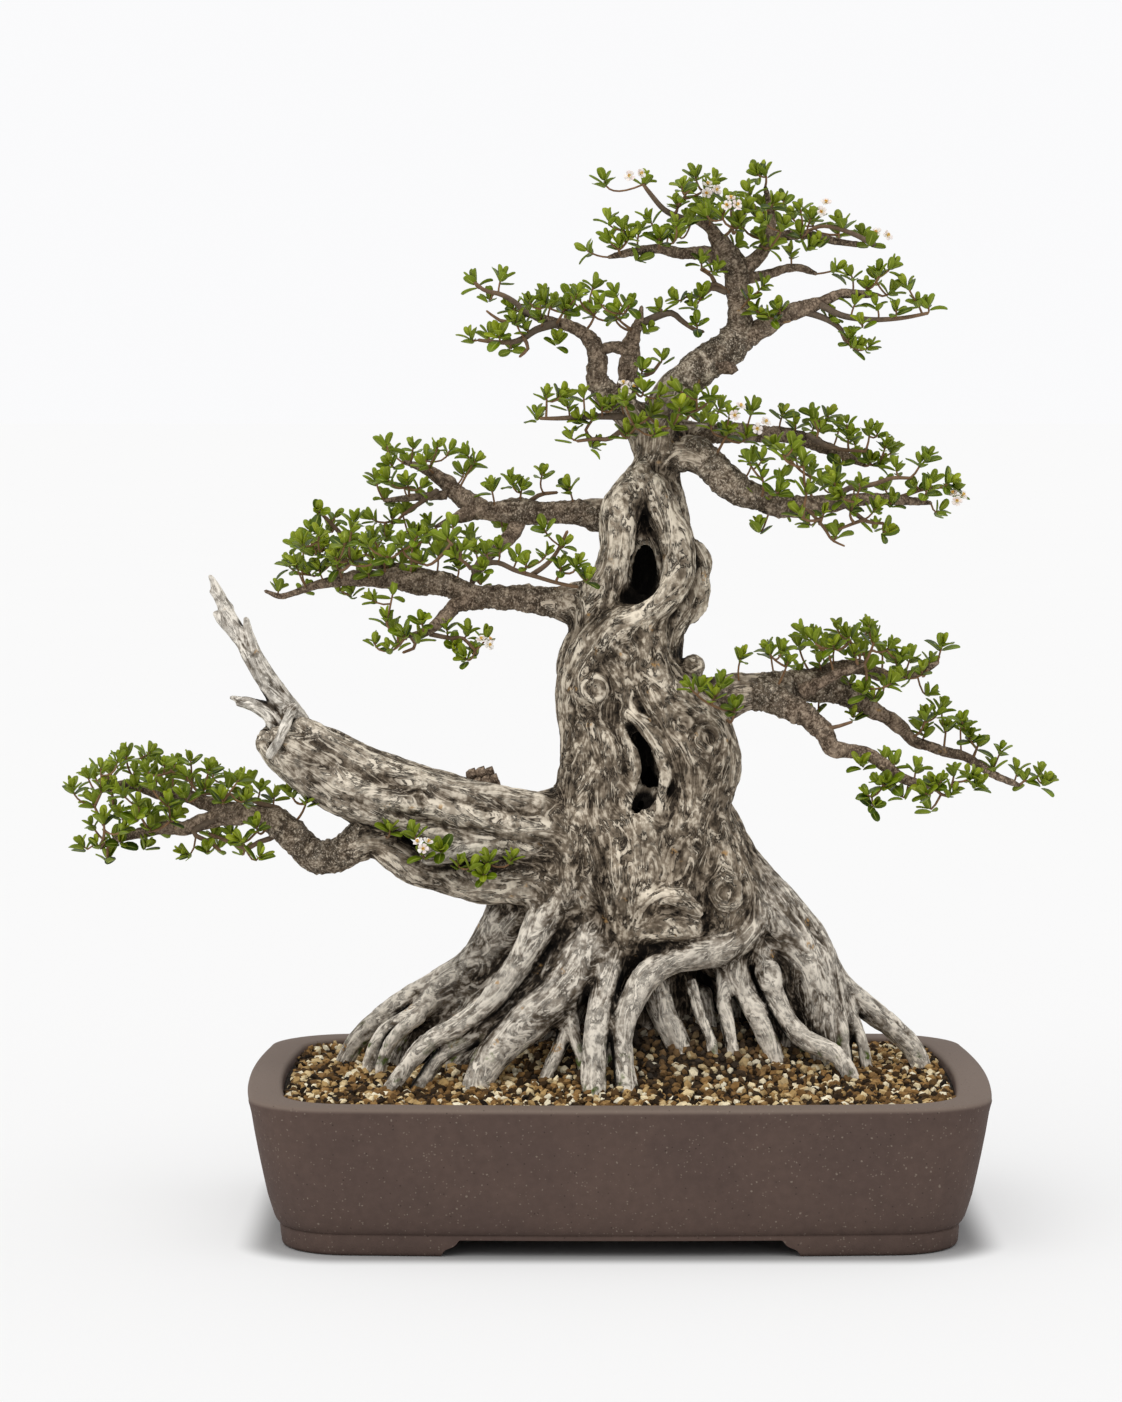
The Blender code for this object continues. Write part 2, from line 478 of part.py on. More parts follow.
def mound(x, y):
    """Height of the soil: level at the wall, heaped towards the trunk."""
    across = (x - MOUND_CENTRE[0]) / MOUND_SPREAD[0]
    along = (y - MOUND_CENTRE[1]) / MOUND_SPREAD[1]
    return SOIL_EDGE_HEIGHT + MOUND_HEIGHT * math.exp(-(across ** 2) - along ** 2)


def make_soil(wood_clearance):
    """The soil block: it fills the pot, is heaped round the trunk and has room for the roots."""
    shape = bmesh.new()
    rings = [add_ring(shape, outline(inset * MM), height * MM) for inset, height in SOIL_WALL]
    edge = outline(SOIL_WALL[-1][0] * MM)
    for step in range(1, SOIL_RINGS):
        scale = 1 - step / SOIL_RINGS
        rings.append([shape.verts.new((x * scale, y * scale, mound(x * scale, y * scale)))
                      for x, y in edge])
    for lower, upper in zip(rings, rings[1:]):
        bridge(shape, lower, upper)
    shape.faces.new(rings[0])
    top = shape.verts.new((0.0, 0.0, mound(0.0, 0.0)))
    last = rings[-1]
    for step, corner in enumerate(last):
        shape.faces.new((corner, last[(step + 1) % len(last)], top))
    gravel = material("gravel_soil", (0.22, 0.16, 0.11), 0.95)
    soil = add_object("soil", mesh_from_bmesh("soil", shape), gravel)
    half = screen_half_width() + FITTING_GAP
    for side in (-1, 1):
        box = [(-half, POCKET_LOW), (half, POCKET_LOW), (half, POCKET_HIGH), (-half, POCKET_HIGH)]
        pocket = prism(f"screen_pocket_{side}", box, "Y", half)
        pocket.location.x = side * DRAIN_HOLE_X
        boolean_cut(soil, as_cutter(pocket))
    boolean_cut(soil, wood_clearance)
    bpy.context.view_layer.update()
    soil_mesh = largest_body(evaluated_mesh(soil, "soil"))
    soil.modifiers.clear()
    soil.data = soil_mesh
    return soil


def screen_half_width():
    """Half the side of a drainage screen."""
    return ((SCREEN_HOLES + 1) * SCREEN_BAR + SCREEN_HOLES * SCREEN_HOLE) / 2


def make_screen(name, centre_x, finish):
    """A square plastic mesh over a drainage hole: bars and holes in turn, thickened."""
    shape = bmesh.new()
    lines = [-screen_half_width()]
    for step in range(2 * SCREEN_HOLES + 1):
        lines.append(lines[-1] + (SCREEN_BAR if step % 2 == 0 else SCREEN_HOLE))
    seat = FLOOR_TOP + SEAT_GAP
    grid = [[shape.verts.new((x + centre_x, y, seat)) for y in lines] for x in lines]
    for row in range(len(lines) - 1):
        for column in range(len(lines) - 1):
            if row % 2 == 1 and column % 2 == 1:
                continue
            shape.faces.new((grid[row][column], grid[row + 1][column],
                             grid[row + 1][column + 1], grid[row][column + 1]))
    mesh = mesh_from_bmesh(name, shape)
    screen = add_object(name, mesh, finish)
    thick = screen.modifiers.new("thickness", "SOLIDIFY")
    thick.thickness = SCREEN_THICKNESS
    thick.offset = 1.0 if mesh.polygons[0].normal.z > 0 else -1.0
    return screen


def make_clip(name, centre_x, finish):
    """A bent wire staple: over the screen, down through the hole and out under the pot."""
    low = UNDERSIDE - SEAT_GAP - CLIP_WIRE_RADIUS
    high = FLOOR_TOP + SCREEN_THICKNESS + 2 * SEAT_GAP + CLIP_WIRE_RADIUS
    leg = SCREEN_BAR + SCREEN_HOLE
    half = [(CLIP_FOOT_END, low), (CLIP_FOOT_MIDDLE, low), (leg + CLIP_BEND, low),
            (leg, low + CLIP_BEND), (leg, high - CLIP_BEND), (leg - CLIP_BEND, high)]
    route = half + [(-across, height) for across, height in reversed(half)]
    data = bpy.data.curves.new(name, "CURVE")
    data.dimensions = "3D"
    data.bevel_depth = CLIP_WIRE_RADIUS
    data.bevel_resolution = 2
    data.use_fill_caps = True
    line = data.splines.new("POLY")
    line.points.add(len(route) - 1)
    for point, (across, height) in zip(line.points, route):
        point.co = (centre_x + across, 0.0, height, 1.0)
    return add_object(name, data, finish)


def reach_past(spots, extra):
    """Carry both ends of a route a little further, in mm, along its end runs."""
    first = spots[0] + (spots[0] - spots[1]).normalized() * extra * MM
    last = spots[-1] + (spots[-1] - spots[-2]).normalized() * extra * MM
    return [first] + spots[1:-1] + [last]


def make_strokes(name, strokes, extra):
    """Round bars through the strokes' points, made thicker and longer by extra mm."""
    data = bpy.data.curves.new(name, "CURVE")
    data.dimensions = "3D"
    data.bevel_depth = MM
    data.bevel_resolution = 3
    data.resolution_u = 5
    data.use_fill_caps = True
    for stroke in strokes:
        line = data.splines.new("BEZIER")
        line.radius_interpolation = "CARDINAL"
        line.bezier_points.add(len(stroke) - 1)
        spots = reach_past([place(x, z, depth) for x, z, depth, radius in stroke], extra)
        for point, spot, station in zip(line.bezier_points, spots, stroke):
            point.co = spot
            point.handle_left_type = "AUTO"
            point.handle_right_type = "AUTO"
            point.radius = station[3] + extra
    return as_cutter(add_object(name, data))


def skin(name, source_mesh, voxel, triangles, finish=None):
    """Wrap overlapping bodies in one closed skin, with about the given count of triangles."""
    item = add_object(name, source_mesh, finish)
    wrap = item.modifiers.new("wrap", "REMESH")
    wrap.mode = "VOXEL"
    wrap.voxel_size = voxel
    bpy.context.view_layer.update()
    wrapped = largest_body(evaluated_mesh(item, name))
    item.modifiers.clear()
    item.data = wrapped
    thin = item.modifiers.new("thin", "DECIMATE")
    thin.ratio = triangles / len(wrapped.polygons)
    thin.use_collapse_triangulate = True
    bpy.context.view_layer.update()
    item.data = largest_body(evaluated_mesh(item, name))
    item.modifiers.clear()
    return item


def ellipsoids(lobes, extra, subdivisions):
    """Balls stretched to their half sizes, each made larger all round by extra mm."""
    shape = bmesh.new()
    for x, z, depth, half_x, half_z, half_depth in lobes:
        size = Matrix.Diagonal(((half_x + extra) * MM, (half_depth + extra) * MM,
                                (half_z + extra) * MM, 1.0))
        bmesh.ops.create_icosphere(shape, subdivisions=subdivisions, radius=1.0,
                                   matrix=Matrix.Translation(place(x, z, depth)) @ size)
    return shape


def make_wood(name, extra, triangles, finish=None):
    """The tree's wood from root tips to branch ends, as one skin round all its strokes."""
    strokes = TRUNK + LIMB + DEADWOOD + ROOTS + LOWER_BRANCHES + MIDDLE_BRANCHES + UPPER_BRANCHES
    bars = make_strokes(name + "_bars", strokes, extra)
    bpy.context.view_layer.update()
    return skin(name, evaluated_mesh(bars, name), WOOD_VOXEL, triangles, finish)


def hollow_trunk(wood):
    """Sink the two old wounds into the front of the trunk."""
    for number, hollow in enumerate(HOLLOWS):
        wound = mesh_from_bmesh(f"wound_{number}", ellipsoids([hollow], 0.0, 2))
        boolean_cut(wood, as_cutter(add_object(f"wound_{number}", wound)))
    bpy.context.view_layer.update()
    hollowed = largest_body(evaluated_mesh(wood, wood.name))
    wood.modifiers.clear()
    wood.data = hollowed


def make_lobes(name, lobes, extra, finish=None):
    """A skin round a cloud's ellipsoids, made larger all round by extra mm."""
    triangles = FOLIAGE_TRIANGLES * (0.4 + 0.09 * len(lobes))
    source = mesh_from_bmesh(name, ellipsoids(lobes, extra, 3))
    return skin(name, source, FOLIAGE_VOXEL, triangles, finish)


def make_foliage(name, lobes, cutters, finish):
    """One cloud of leaves: a skin round its lobes, less the wood and flowers that it holds."""
    cloud = make_lobes(name, lobes, 0.0, finish)
    for cutter in cutters:
        boolean_cut(cloud, cutter)
    bpy.context.view_layer.update()
    cloud_mesh = largest_body(evaluated_mesh(cloud, name))
    cloud.modifiers.clear()
    cloud.data = cloud_mesh
    return cloud


def flower_tilt(number):
    """How each flower's face is turned: forwards, tipped up, and a little to either side."""
    return (Matrix.Rotation(math.radians(25 * math.sin(number * 2.1)), 4, "Z")
            @ Matrix.Rotation(math.radians(62), 4, "X"))


def make_flower(number, spot, finish):
    """A small open flower: a star of rounded petals, dished towards its middle."""
    shape = bmesh.new()
    steps = FLOWER_PETALS * 4
    faces = []
    for lift in (0.0, FLOWER_THICKNESS):
        ring = []
        for step in range(steps):
            angle = 2 * math.pi * step / steps
            reach = FLOWER_RADIUS * (0.42 + 0.58 * abs(math.cos(angle * FLOWER_PETALS / 2)) ** 0.6)
            ring.append(shape.verts.new((reach * math.cos(angle), reach * math.sin(angle),
                                         lift + 0.22 * reach)))
        middle = shape.verts.new((0.0, 0.0, lift))
        for step in range(steps):
            shape.faces.new((ring[step], ring[(step + 1) % steps], middle))
        faces.append(ring)
    bridge(shape, faces[0], faces[1])
    turn = Matrix.Translation(place(*spot)) @ flower_tilt(number)
    bmesh.ops.transform(shape, matrix=turn, verts=shape.verts[:])
    name = f"flower_{number + 1:02d}"
    return add_object(name, mesh_from_bmesh(name, shape), finish)


def make_flower_room(number, spot):
    """The ball of clear space round a flower."""
    shape = bmesh.new()
    bmesh.ops.create_icosphere(shape, subdivisions=2, radius=FLOWER_CLEARANCE,
                               matrix=Matrix.Translation(place(*spot)))
    name = f"flower_room_{number + 1:02d}"
    return as_cutter(add_object(name, mesh_from_bmesh(name, shape)))


def near(lobes, centre, radius):
    """Whether a ball reaches into any of a cloud's lobes."""
    for x, z, depth, half_x, half_z, half_depth in lobes:
        reach = max(half_x, half_z, half_depth) * MM + radius
        if (place(x, z, depth) - centre).length < reach:
            return True
    return False


def clouds_meet(first, second):
    """Whether any lobe of one cloud may touch a lobe of another."""
    return any(near(first, place(x, z, depth), max(half_x, half_z, half_depth) * MM)
               for x, z, depth, half_x, half_z, half_depth in second)


def centre_footprint():
    """Move the model so that the origin is the middle of its footprint."""
    bpy.context.view_layer.update()
    parts = [item for item in bpy.data.objects if not item.hide_render]
    low = [math.inf, math.inf]
    high = [-math.inf, -math.inf]
    for item in parts:
        for corner in evaluated_mesh(item, "box").vertices:
            spot = item.matrix_world @ corner.co
            for axis in (0, 1):
                low[axis] = min(low[axis], spot[axis])
                high[axis] = max(high[axis], spot[axis])
    for item in bpy.data.objects:
        item.location.x -= (low[0] + high[0]) / 2
        item.location.y -= (low[1] + high[1]) / 2


def main():
    """Build every piece of the potted tree."""
    clear_scene()
    bark = material("bark", (0.20, 0.165, 0.13), 0.9)
    leaf = material("leaf_green", (0.10, 0.19, 0.03), 0.45)
    petal = material("petal_white", (0.80, 0.78, 0.72), 0.6)
    plastic = material("screen_plastic", (0.03, 0.03, 0.03), 0.6)
    wire = material("clip_wire", (0.30, 0.17, 0.10), 0.4, 1.0)
    make_pot()
    for side, word in ((-1, "left"), (1, "right")):
        make_screen("drainage_screen_" + word, side * DRAIN_HOLE_X, plastic)
        make_clip("screen_clip_" + word, side * DRAIN_HOLE_X, wire)
    hollow_trunk(make_wood("tree_wood", 0.0, WOOD_TRIANGLES, bark))
    clearance = as_cutter(make_wood("wood_clearance", CLEARANCE, CLEARANCE_TRIANGLES))
    make_soil(clearance)
    rooms = [make_flower_room(number, spot) for number, spot in enumerate(FLOWERS)]
    for number, spot in enumerate(FLOWERS):
        make_flower(number, spot, petal)
    made = {}
    for name, lobes in FOLIAGE.items():
        cutters = [clearance]
        cutters += [room for room, spot in zip(rooms, FLOWERS)
                    if near(lobes, place(*spot), FLOWER_CLEARANCE)]
        cutters += [room for other, room in made.items() if clouds_meet(FOLIAGE[other], lobes)]
        make_foliage(name, lobes, cutters, leaf)
        made[name] = as_cutter(make_lobes(name + "_room", lobes, FOLIAGE_CLEARANCE))
    centre_footprint()


main()
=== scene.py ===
"""The looks of a potted bonsai: an old fluted trunk, exposed roots, a dead limb, leafy shoots,
white flowers, gravel soil and an unglazed clay pot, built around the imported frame.

Shapes are worked out in millimetres and written in metres. The tree is laid out on a front
elevation: a station is (x, z, depth, radius), where depth is how far it lies behind the pot's
long axis, and the sight line through (x, z) says where it is at that depth.
"""
import logging
import math
from dataclasses import dataclass, field
from enum import Enum
from functools import cache
from itertools import combinations

import bpy
import numpy as np
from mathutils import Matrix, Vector
from mathutils.bvhtree import BVHTree


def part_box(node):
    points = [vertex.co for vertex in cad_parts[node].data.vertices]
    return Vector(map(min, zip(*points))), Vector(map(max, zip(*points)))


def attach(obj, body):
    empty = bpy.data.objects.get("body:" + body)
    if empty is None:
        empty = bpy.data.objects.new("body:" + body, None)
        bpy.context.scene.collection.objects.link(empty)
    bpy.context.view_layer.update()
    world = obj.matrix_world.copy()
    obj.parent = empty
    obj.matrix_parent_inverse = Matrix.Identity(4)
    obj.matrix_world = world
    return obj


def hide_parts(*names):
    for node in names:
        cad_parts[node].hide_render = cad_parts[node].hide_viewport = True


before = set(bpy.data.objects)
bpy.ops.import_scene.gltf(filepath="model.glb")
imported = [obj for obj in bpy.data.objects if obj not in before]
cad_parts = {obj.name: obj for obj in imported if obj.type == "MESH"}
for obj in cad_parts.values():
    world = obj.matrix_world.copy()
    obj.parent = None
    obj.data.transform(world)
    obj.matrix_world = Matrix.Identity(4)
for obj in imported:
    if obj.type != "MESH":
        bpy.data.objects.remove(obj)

Array = np.ndarray
Station = tuple[float, float, float, float]
Colour = tuple[float, float, float]
Spot = tuple[float, float]
Material, Node = bpy.types.Material, bpy.types.Node
NodeTree, Socket = bpy.types.NodeTree, bpy.types.NodeSocket

LOG = logging.getLogger("bonsai")
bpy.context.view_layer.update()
MM = 0.001
BODY = "root"
FULL_TURN = 2 * math.pi
GOLDEN_TURN = math.pi * (3 - math.sqrt(5))
BURIED = 7.0  # how far below the top of the soil the wood is shaped, in mm
GRAIN_UNIT = 1.6  # the mm across a tube's fibres for one unit of its grain mark
STRETCH = 0.8  # and along them, as a share of that
POT_LOW, POT_HIGH = (np.array(corner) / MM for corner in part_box("pot"))
POT_MIDDLE = (POT_LOW + POT_HIGH) / 2 * [1, 1, 0]
VIEWPOINT = np.array([-28.0, -2193.0, 410.0])


class Slot(Enum):
    """The names of the record's material slots."""

    CLAY = "fired_clay"
    SOIL = "gravel_soil"
    BARK = "bark"
    LEAF = "leaf_green"
    PETAL = "petal_white"


class Tone(Enum):
    """How weathered a stretch of wood is: young and dark, old grey bark, or bleached bare."""

    YOUNG = 0.0
    COLLAR = 0.3
    OLD = 0.5
    LIMB = 0.65
    WORN = 0.79
    BARE = 1.0


# ---------------------------------------------------------------- places, paths and noise


def place(stations: Array) -> Array:
    """Turn elevation stations into places: each lies on its sight line, at its own depth.

    Args:
        stations: rows of (x, z, depth, ...) in mm.

    Returns:
        Rows of (x, y, z) in mm, in the frame.
    """
    flat = np.stack([stations[:, 0], np.zeros(len(stations)), stations[:, 1]], axis=1)
    reach = (stations[:, 2:3] - VIEWPOINT[1]) / -VIEWPOINT[1]
    return VIEWPOINT + (flat - VIEWPOINT) * reach + POT_MIDDLE


def unit(vectors: Array) -> Array:
    """Scale each row to length one."""
    return vectors / np.maximum(np.linalg.norm(vectors, axis=-1, keepdims=True), 1e-9)


def smooth_path(stations: list[Station], pitch: float) -> Array:
    """A Catmull-Rom curve through the stations: between two points it is the cubic whose slope
    at each point is half the step from the point before to the point after.

    Args:
        stations: (x, z, depth, radius) in mm.
        pitch: the distance between the points that are given back, in mm.

    Returns:
        Rows of (x, y, z, radius) in mm, evenly spaced along the curve.
    """
    given = np.array(stations, float)
    knots = np.concatenate([place(given), given[:, 3:4]], axis=1)
    knots = np.concatenate([2 * knots[:1] - knots[1:2], knots, 2 * knots[-1:] - knots[-2:-1]])
    knots[:, 3] = np.maximum(knots[:, 3], 0.2)
    part = np.linspace(0, 1, 24, endpoint=False)[None, :, None]
    before, start, end, after = (knots[shift:len(knots) - 3 + shift, None] for shift in range(4))
    curve = 0.5 * (2 * start + (end - before) * part
                   + (2 * before - 5 * start + 4 * end - after) * part ** 2
                   + (3 * start - before - 3 * end + after) * part ** 3)
    dense = np.concatenate([curve.reshape(-1, 4), knots[-2:-1]])
    run = np.concatenate([[0], np.cumsum(np.linalg.norm(np.diff(dense[:, :3], axis=0), axis=1))])
    stops = np.linspace(0, run[-1], max(3, int(run[-1] / pitch) + 1))
    return np.stack([np.interp(stops, run, column) for column in dense.T], axis=1)


def read_between(values: Array, low: Array, part: Array) -> Array:
    """Read a grid between its points: each of the eight corners round a place is weighed by the
    product of its nearness along the three axes. Past its end the grid starts anew.

    Args:
        values: one or several numbers for each grid point.
        low: the lowest corner's indices for each place.
        part: how far the place lies from it to the next, from 0 to 1 along each axis.

    Returns:
        The number or numbers at each place.
    """
    total = 0
    for corner in range(8):
        step = np.array([corner & 1, corner >> 1 & 1, corner >> 2 & 1])
        weight = np.prod(np.where(step, part, 1 - part), axis=1)
        found = values[tuple(((low + step) % values.shape[:3]).T)]
        total = total + (weight[:, None] * found if found.ndim == 2 else weight * found)
    return total


@dataclass
class Lattice:
    """Smooth random values in space: random numbers on a cubic lattice, blended between its
    points with the s-curve 3t^2 - 2t^3 along each axis."""

    seed: int
    size: int = 64

    def __post_init__(self) -> None:
        """Draw the lattice."""
        draw = np.random.default_rng(self.seed)
        self.values = draw.uniform(-1, 1, (self.size,) * 3).astype(np.float32)

    def at(self, points: Array, wavelength: float) -> Array:
        """The value, from -1 to 1, at each row of points.

        Args:
            points: places in mm.
            wavelength: the lattice's pitch in mm.

        Returns:
            One value for each row.
        """
        scaled = points / wavelength + 7.3
        low = np.floor(scaled).astype(np.int64)
        part = (scaled - low).astype(np.float32)
        part = part * part * (3 - 2 * part)
        return read_between(self.values, low, part)

    def vector(self, points: Array, wavelength: float) -> Array:
        """Three unrelated values at each row of points."""
        shifts = (0.0, 211.7, 431.3)
        return np.stack([self.at(points + shift * wavelength, wavelength) for shift in shifts], axis=1)


def bell(values: Array, middle: float, width: float) -> Array:
    """A bell of height one: e to the power -((value - middle) / width)^2."""
    return np.exp(-((values - middle) / width) ** 2)


def blend(values: Array, low: float, high: float) -> Array:
    """The s-curve from 0 at low to 1 at high."""
    part = np.clip((values - low) / (high - low), 0, 1)
    return part * part * (3 - 2 * part)


def block(first: Array, last: Array) -> tuple[slice, ...]:
    """The part of a grid from the first indices up to the last."""
    return tuple(slice(start, stop) for start, stop in zip(first, last))


def soften(values: Array, reach: int) -> Array:
    """Blur a grid: the mean over a cube of cells, taken along each axis by running sums.

    Args:
        values: the grid.
        reach: how many cells the cube reaches each way.

    Returns:
        The blurred grid.
    """
    for axis in range(3):
        size = values.shape[axis]
        edges = [(reach + 1, reach) if other == axis else (0, 0) for other in range(3)]
        run = np.cumsum(np.pad(values, edges, mode="edge"), axis=axis, dtype=np.float64)
        far = np.take(run, np.arange(size) + 2 * reach + 1, axis=axis)
        values = ((far - np.take(run, np.arange(size), axis=axis)) / (2 * reach + 1)).astype(np.float32)
    return values


# ---------------------------------------------------------------- shapes and meshes


@dataclass
class Shape:
    """Vertices in mm with their faces, and values carried on the vertices."""

    points: Array
    quads: Array = field(default_factory=lambda: np.zeros((0, 4), np.int64))
    triangles: Array = field(default_factory=lambda: np.zeros((0, 3), np.int64))
    marks: dict[str, Array] = field(default_factory=dict)

    def normals(self) -> Array:
        """Find each vertex's direction outwards: the mean of the crossed diagonals of its faces.

        Returns:
            A row of length one for each vertex.
        """
        total = np.zeros_like(self.points)
        for faces in (self.quads, self.triangles):
            corners = self.points[faces]
            crossed = np.cross(corners[:, 2] - corners[:, 0], corners[:, -1] - corners[:, 1])
            for column in range(faces.shape[1]):
                np.add.at(total, faces[:, column], crossed)
        return unit(total)


def join(shapes: list[Shape]) -> Shape:
    """Put several shapes with the same marks into one.

    Args:
        shapes: the shapes.

    Returns:
        The one shape.
    """
    starts = np.cumsum([0] + [len(shape.points) for shape in shapes[:-1]])
    return Shape(
        np.concatenate([shape.points for shape in shapes]),
        np.concatenate([shape.quads + start for shape, start in zip(shapes, starts)]),
        np.concatenate([shape.triangles + start for shape, start in zip(shapes, starts)]),
        {key: np.concatenate([shape.marks[key] for shape in shapes]) for key in shapes[0].marks})


def make_piece(name: str, shape: Shape, finish: Material,
               replaces: tuple[str, ...] = ()) -> bpy.types.Object:
    """Write a shape into the scene as a piece that rides on the body.

    Args:
        name: the piece's name.
        shape: its surface, in mm; a mark of one number or three becomes a vertex attribute, and
            the mark "uv" becomes the UV map.
        finish: its material.
        replaces: CAD nodes that it stands for.

    Returns:
        The new object, at the origin.
    """
    mesh = bpy.data.meshes.new(name)
    corners = np.concatenate([shape.quads.ravel(), shape.triangles.ravel()])
    sizes = np.concatenate([np.full(len(shape.quads), 4), np.full(len(shape.triangles), 3)])
    mesh.vertices.add(len(shape.points))
    mesh.vertices.foreach_set("co", (shape.points * MM).astype(np.float32).ravel())
    mesh.loops.add(len(corners))
    mesh.loops.foreach_set("vertex_index", corners.astype(np.int32))
    mesh.polygons.add(len(sizes))
    mesh.polygons.foreach_set("loop_start", (np.cumsum(sizes) - sizes).astype(np.int32))
    mesh.polygons.foreach_set("loop_total", sizes.astype(np.int32))
    for key, values in shape.marks.items():
        if key == "uv":
            layer = mesh.uv_layers.new(name="uv")
            layer.data.foreach_set("uv", values[corners].astype(np.float32).ravel())
        else:
            kind, part = ("FLOAT", "value") if values.ndim == 1 else ("FLOAT_VECTOR", "vector")
            mark = mesh.attributes.new(key, kind, "POINT")
            mark.data.foreach_set(part, values.astype(np.float32).ravel())
    mesh.materials.append(finish)
    mesh.update(calc_edges=True)
    mesh.validate()
    mesh.shade_smooth()
    piece = bpy.data.objects.new(name, mesh)
    bpy.context.scene.collection.objects.link(piece)
    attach(piece, BODY)
    if replaces:
        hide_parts(*replaces)
    LOG.info("%s: %d faces", name, len(mesh.polygons))
    return piece


def tube_faces(rings: int, sides: int) -> tuple[Array, Array]:
    """The faces of a closed tube of rings of points, numbered from one end, followed by a point
    in the middle of each end: quads between the rings, and a fan over each end.

    Args:
        rings: how many rings it has.
        sides: how many points each ring has.

    Returns:
        The quads and the triangles.
    """
    index = np.arange(rings * sides).reshape(rings, sides)
    after = np.roll(index, -1, axis=1)
    quads = np.stack([index[:-1], after[:-1], after[1:], index[1:]], axis=2).reshape(-1, 4)
    start = np.full(sides, rings * sides)
    first_fan = np.stack([start, after[0], index[0]], axis=1)
    last_fan = np.stack([start + 1, index[-1], after[-1]], axis=1)
    return quads, np.concatenate([first_fan, last_fan])


def carry_profile(path: Array, sides: int, swell: Array | None = None) -> Shape:
    """Carry a round section along a path, and close its ends to points.

    A vertex is centre + radius (cos a * side + sin a * up), where side and up are turned from
    station to station by the least turn that keeps them square to the path.

    Args:
        path: rows of (x, y, z, radius) in mm.
        sides: how many sides the section has.
        swell: what is added to the radius, a row for each station and a column for each side.

    Returns:
        The closed tube, with each vertex's place on the unrolled bark as the mark "grain".
    """
    centre = path[:, :3]
    ahead = unit(np.gradient(centre, axis=0))
    side = np.zeros_like(ahead)
    side[0] = unit(np.cross(ahead[0], [0.31, 0.83, 0.46]))
    for station in range(1, len(path)):
        carried = side[station - 1]
        side[station] = unit(carried - ahead[station] * (carried @ ahead[station]))
    up = np.cross(ahead, side)
    angle = np.linspace(0, FULL_TURN, sides, endpoint=False)
    radius = path[:, 3:4] + (0 if swell is None else swell)
    ring = np.cos(angle)[None, :, None] * side[:, None] + np.sin(angle)[None, :, None] * up[:, None]
    points = (centre[:, None] + radius[:, :, None] * ring).reshape(-1, 3)
    run = np.concatenate([[0], np.cumsum(np.linalg.norm(np.diff(centre, axis=0), axis=1))])
    tips = np.stack([centre[0] - ahead[0] * path[0, 3] * 0.5, centre[-1] + ahead[-1] * path[-1, 3]])
    flat = path[:, 3:4, None] * np.stack([np.cos(angle), np.sin(angle)], axis=1)[None]
    along = np.broadcast_to(run[:, None, None] / STRETCH, (len(path), sides, 1))
    grain = np.concatenate([flat, along], axis=2).reshape(-1, 3)
    grain = np.concatenate([grain, [[0, 0, 0], [0, 0, run[-1] / STRETCH]]]) / GRAIN_UNIT
    return Shape(np.concatenate([points, tips]), *tube_faces(len(path), sides), {"grain": grain})


# ---------------------------------------------------------------- solid wood on a grid


@dataclass
class Strand:
    """A stretch of wood or of hollow: a round bar through stations, and how weathered it is."""

    stations: list[Station]
    tone: float = Tone.OLD.value


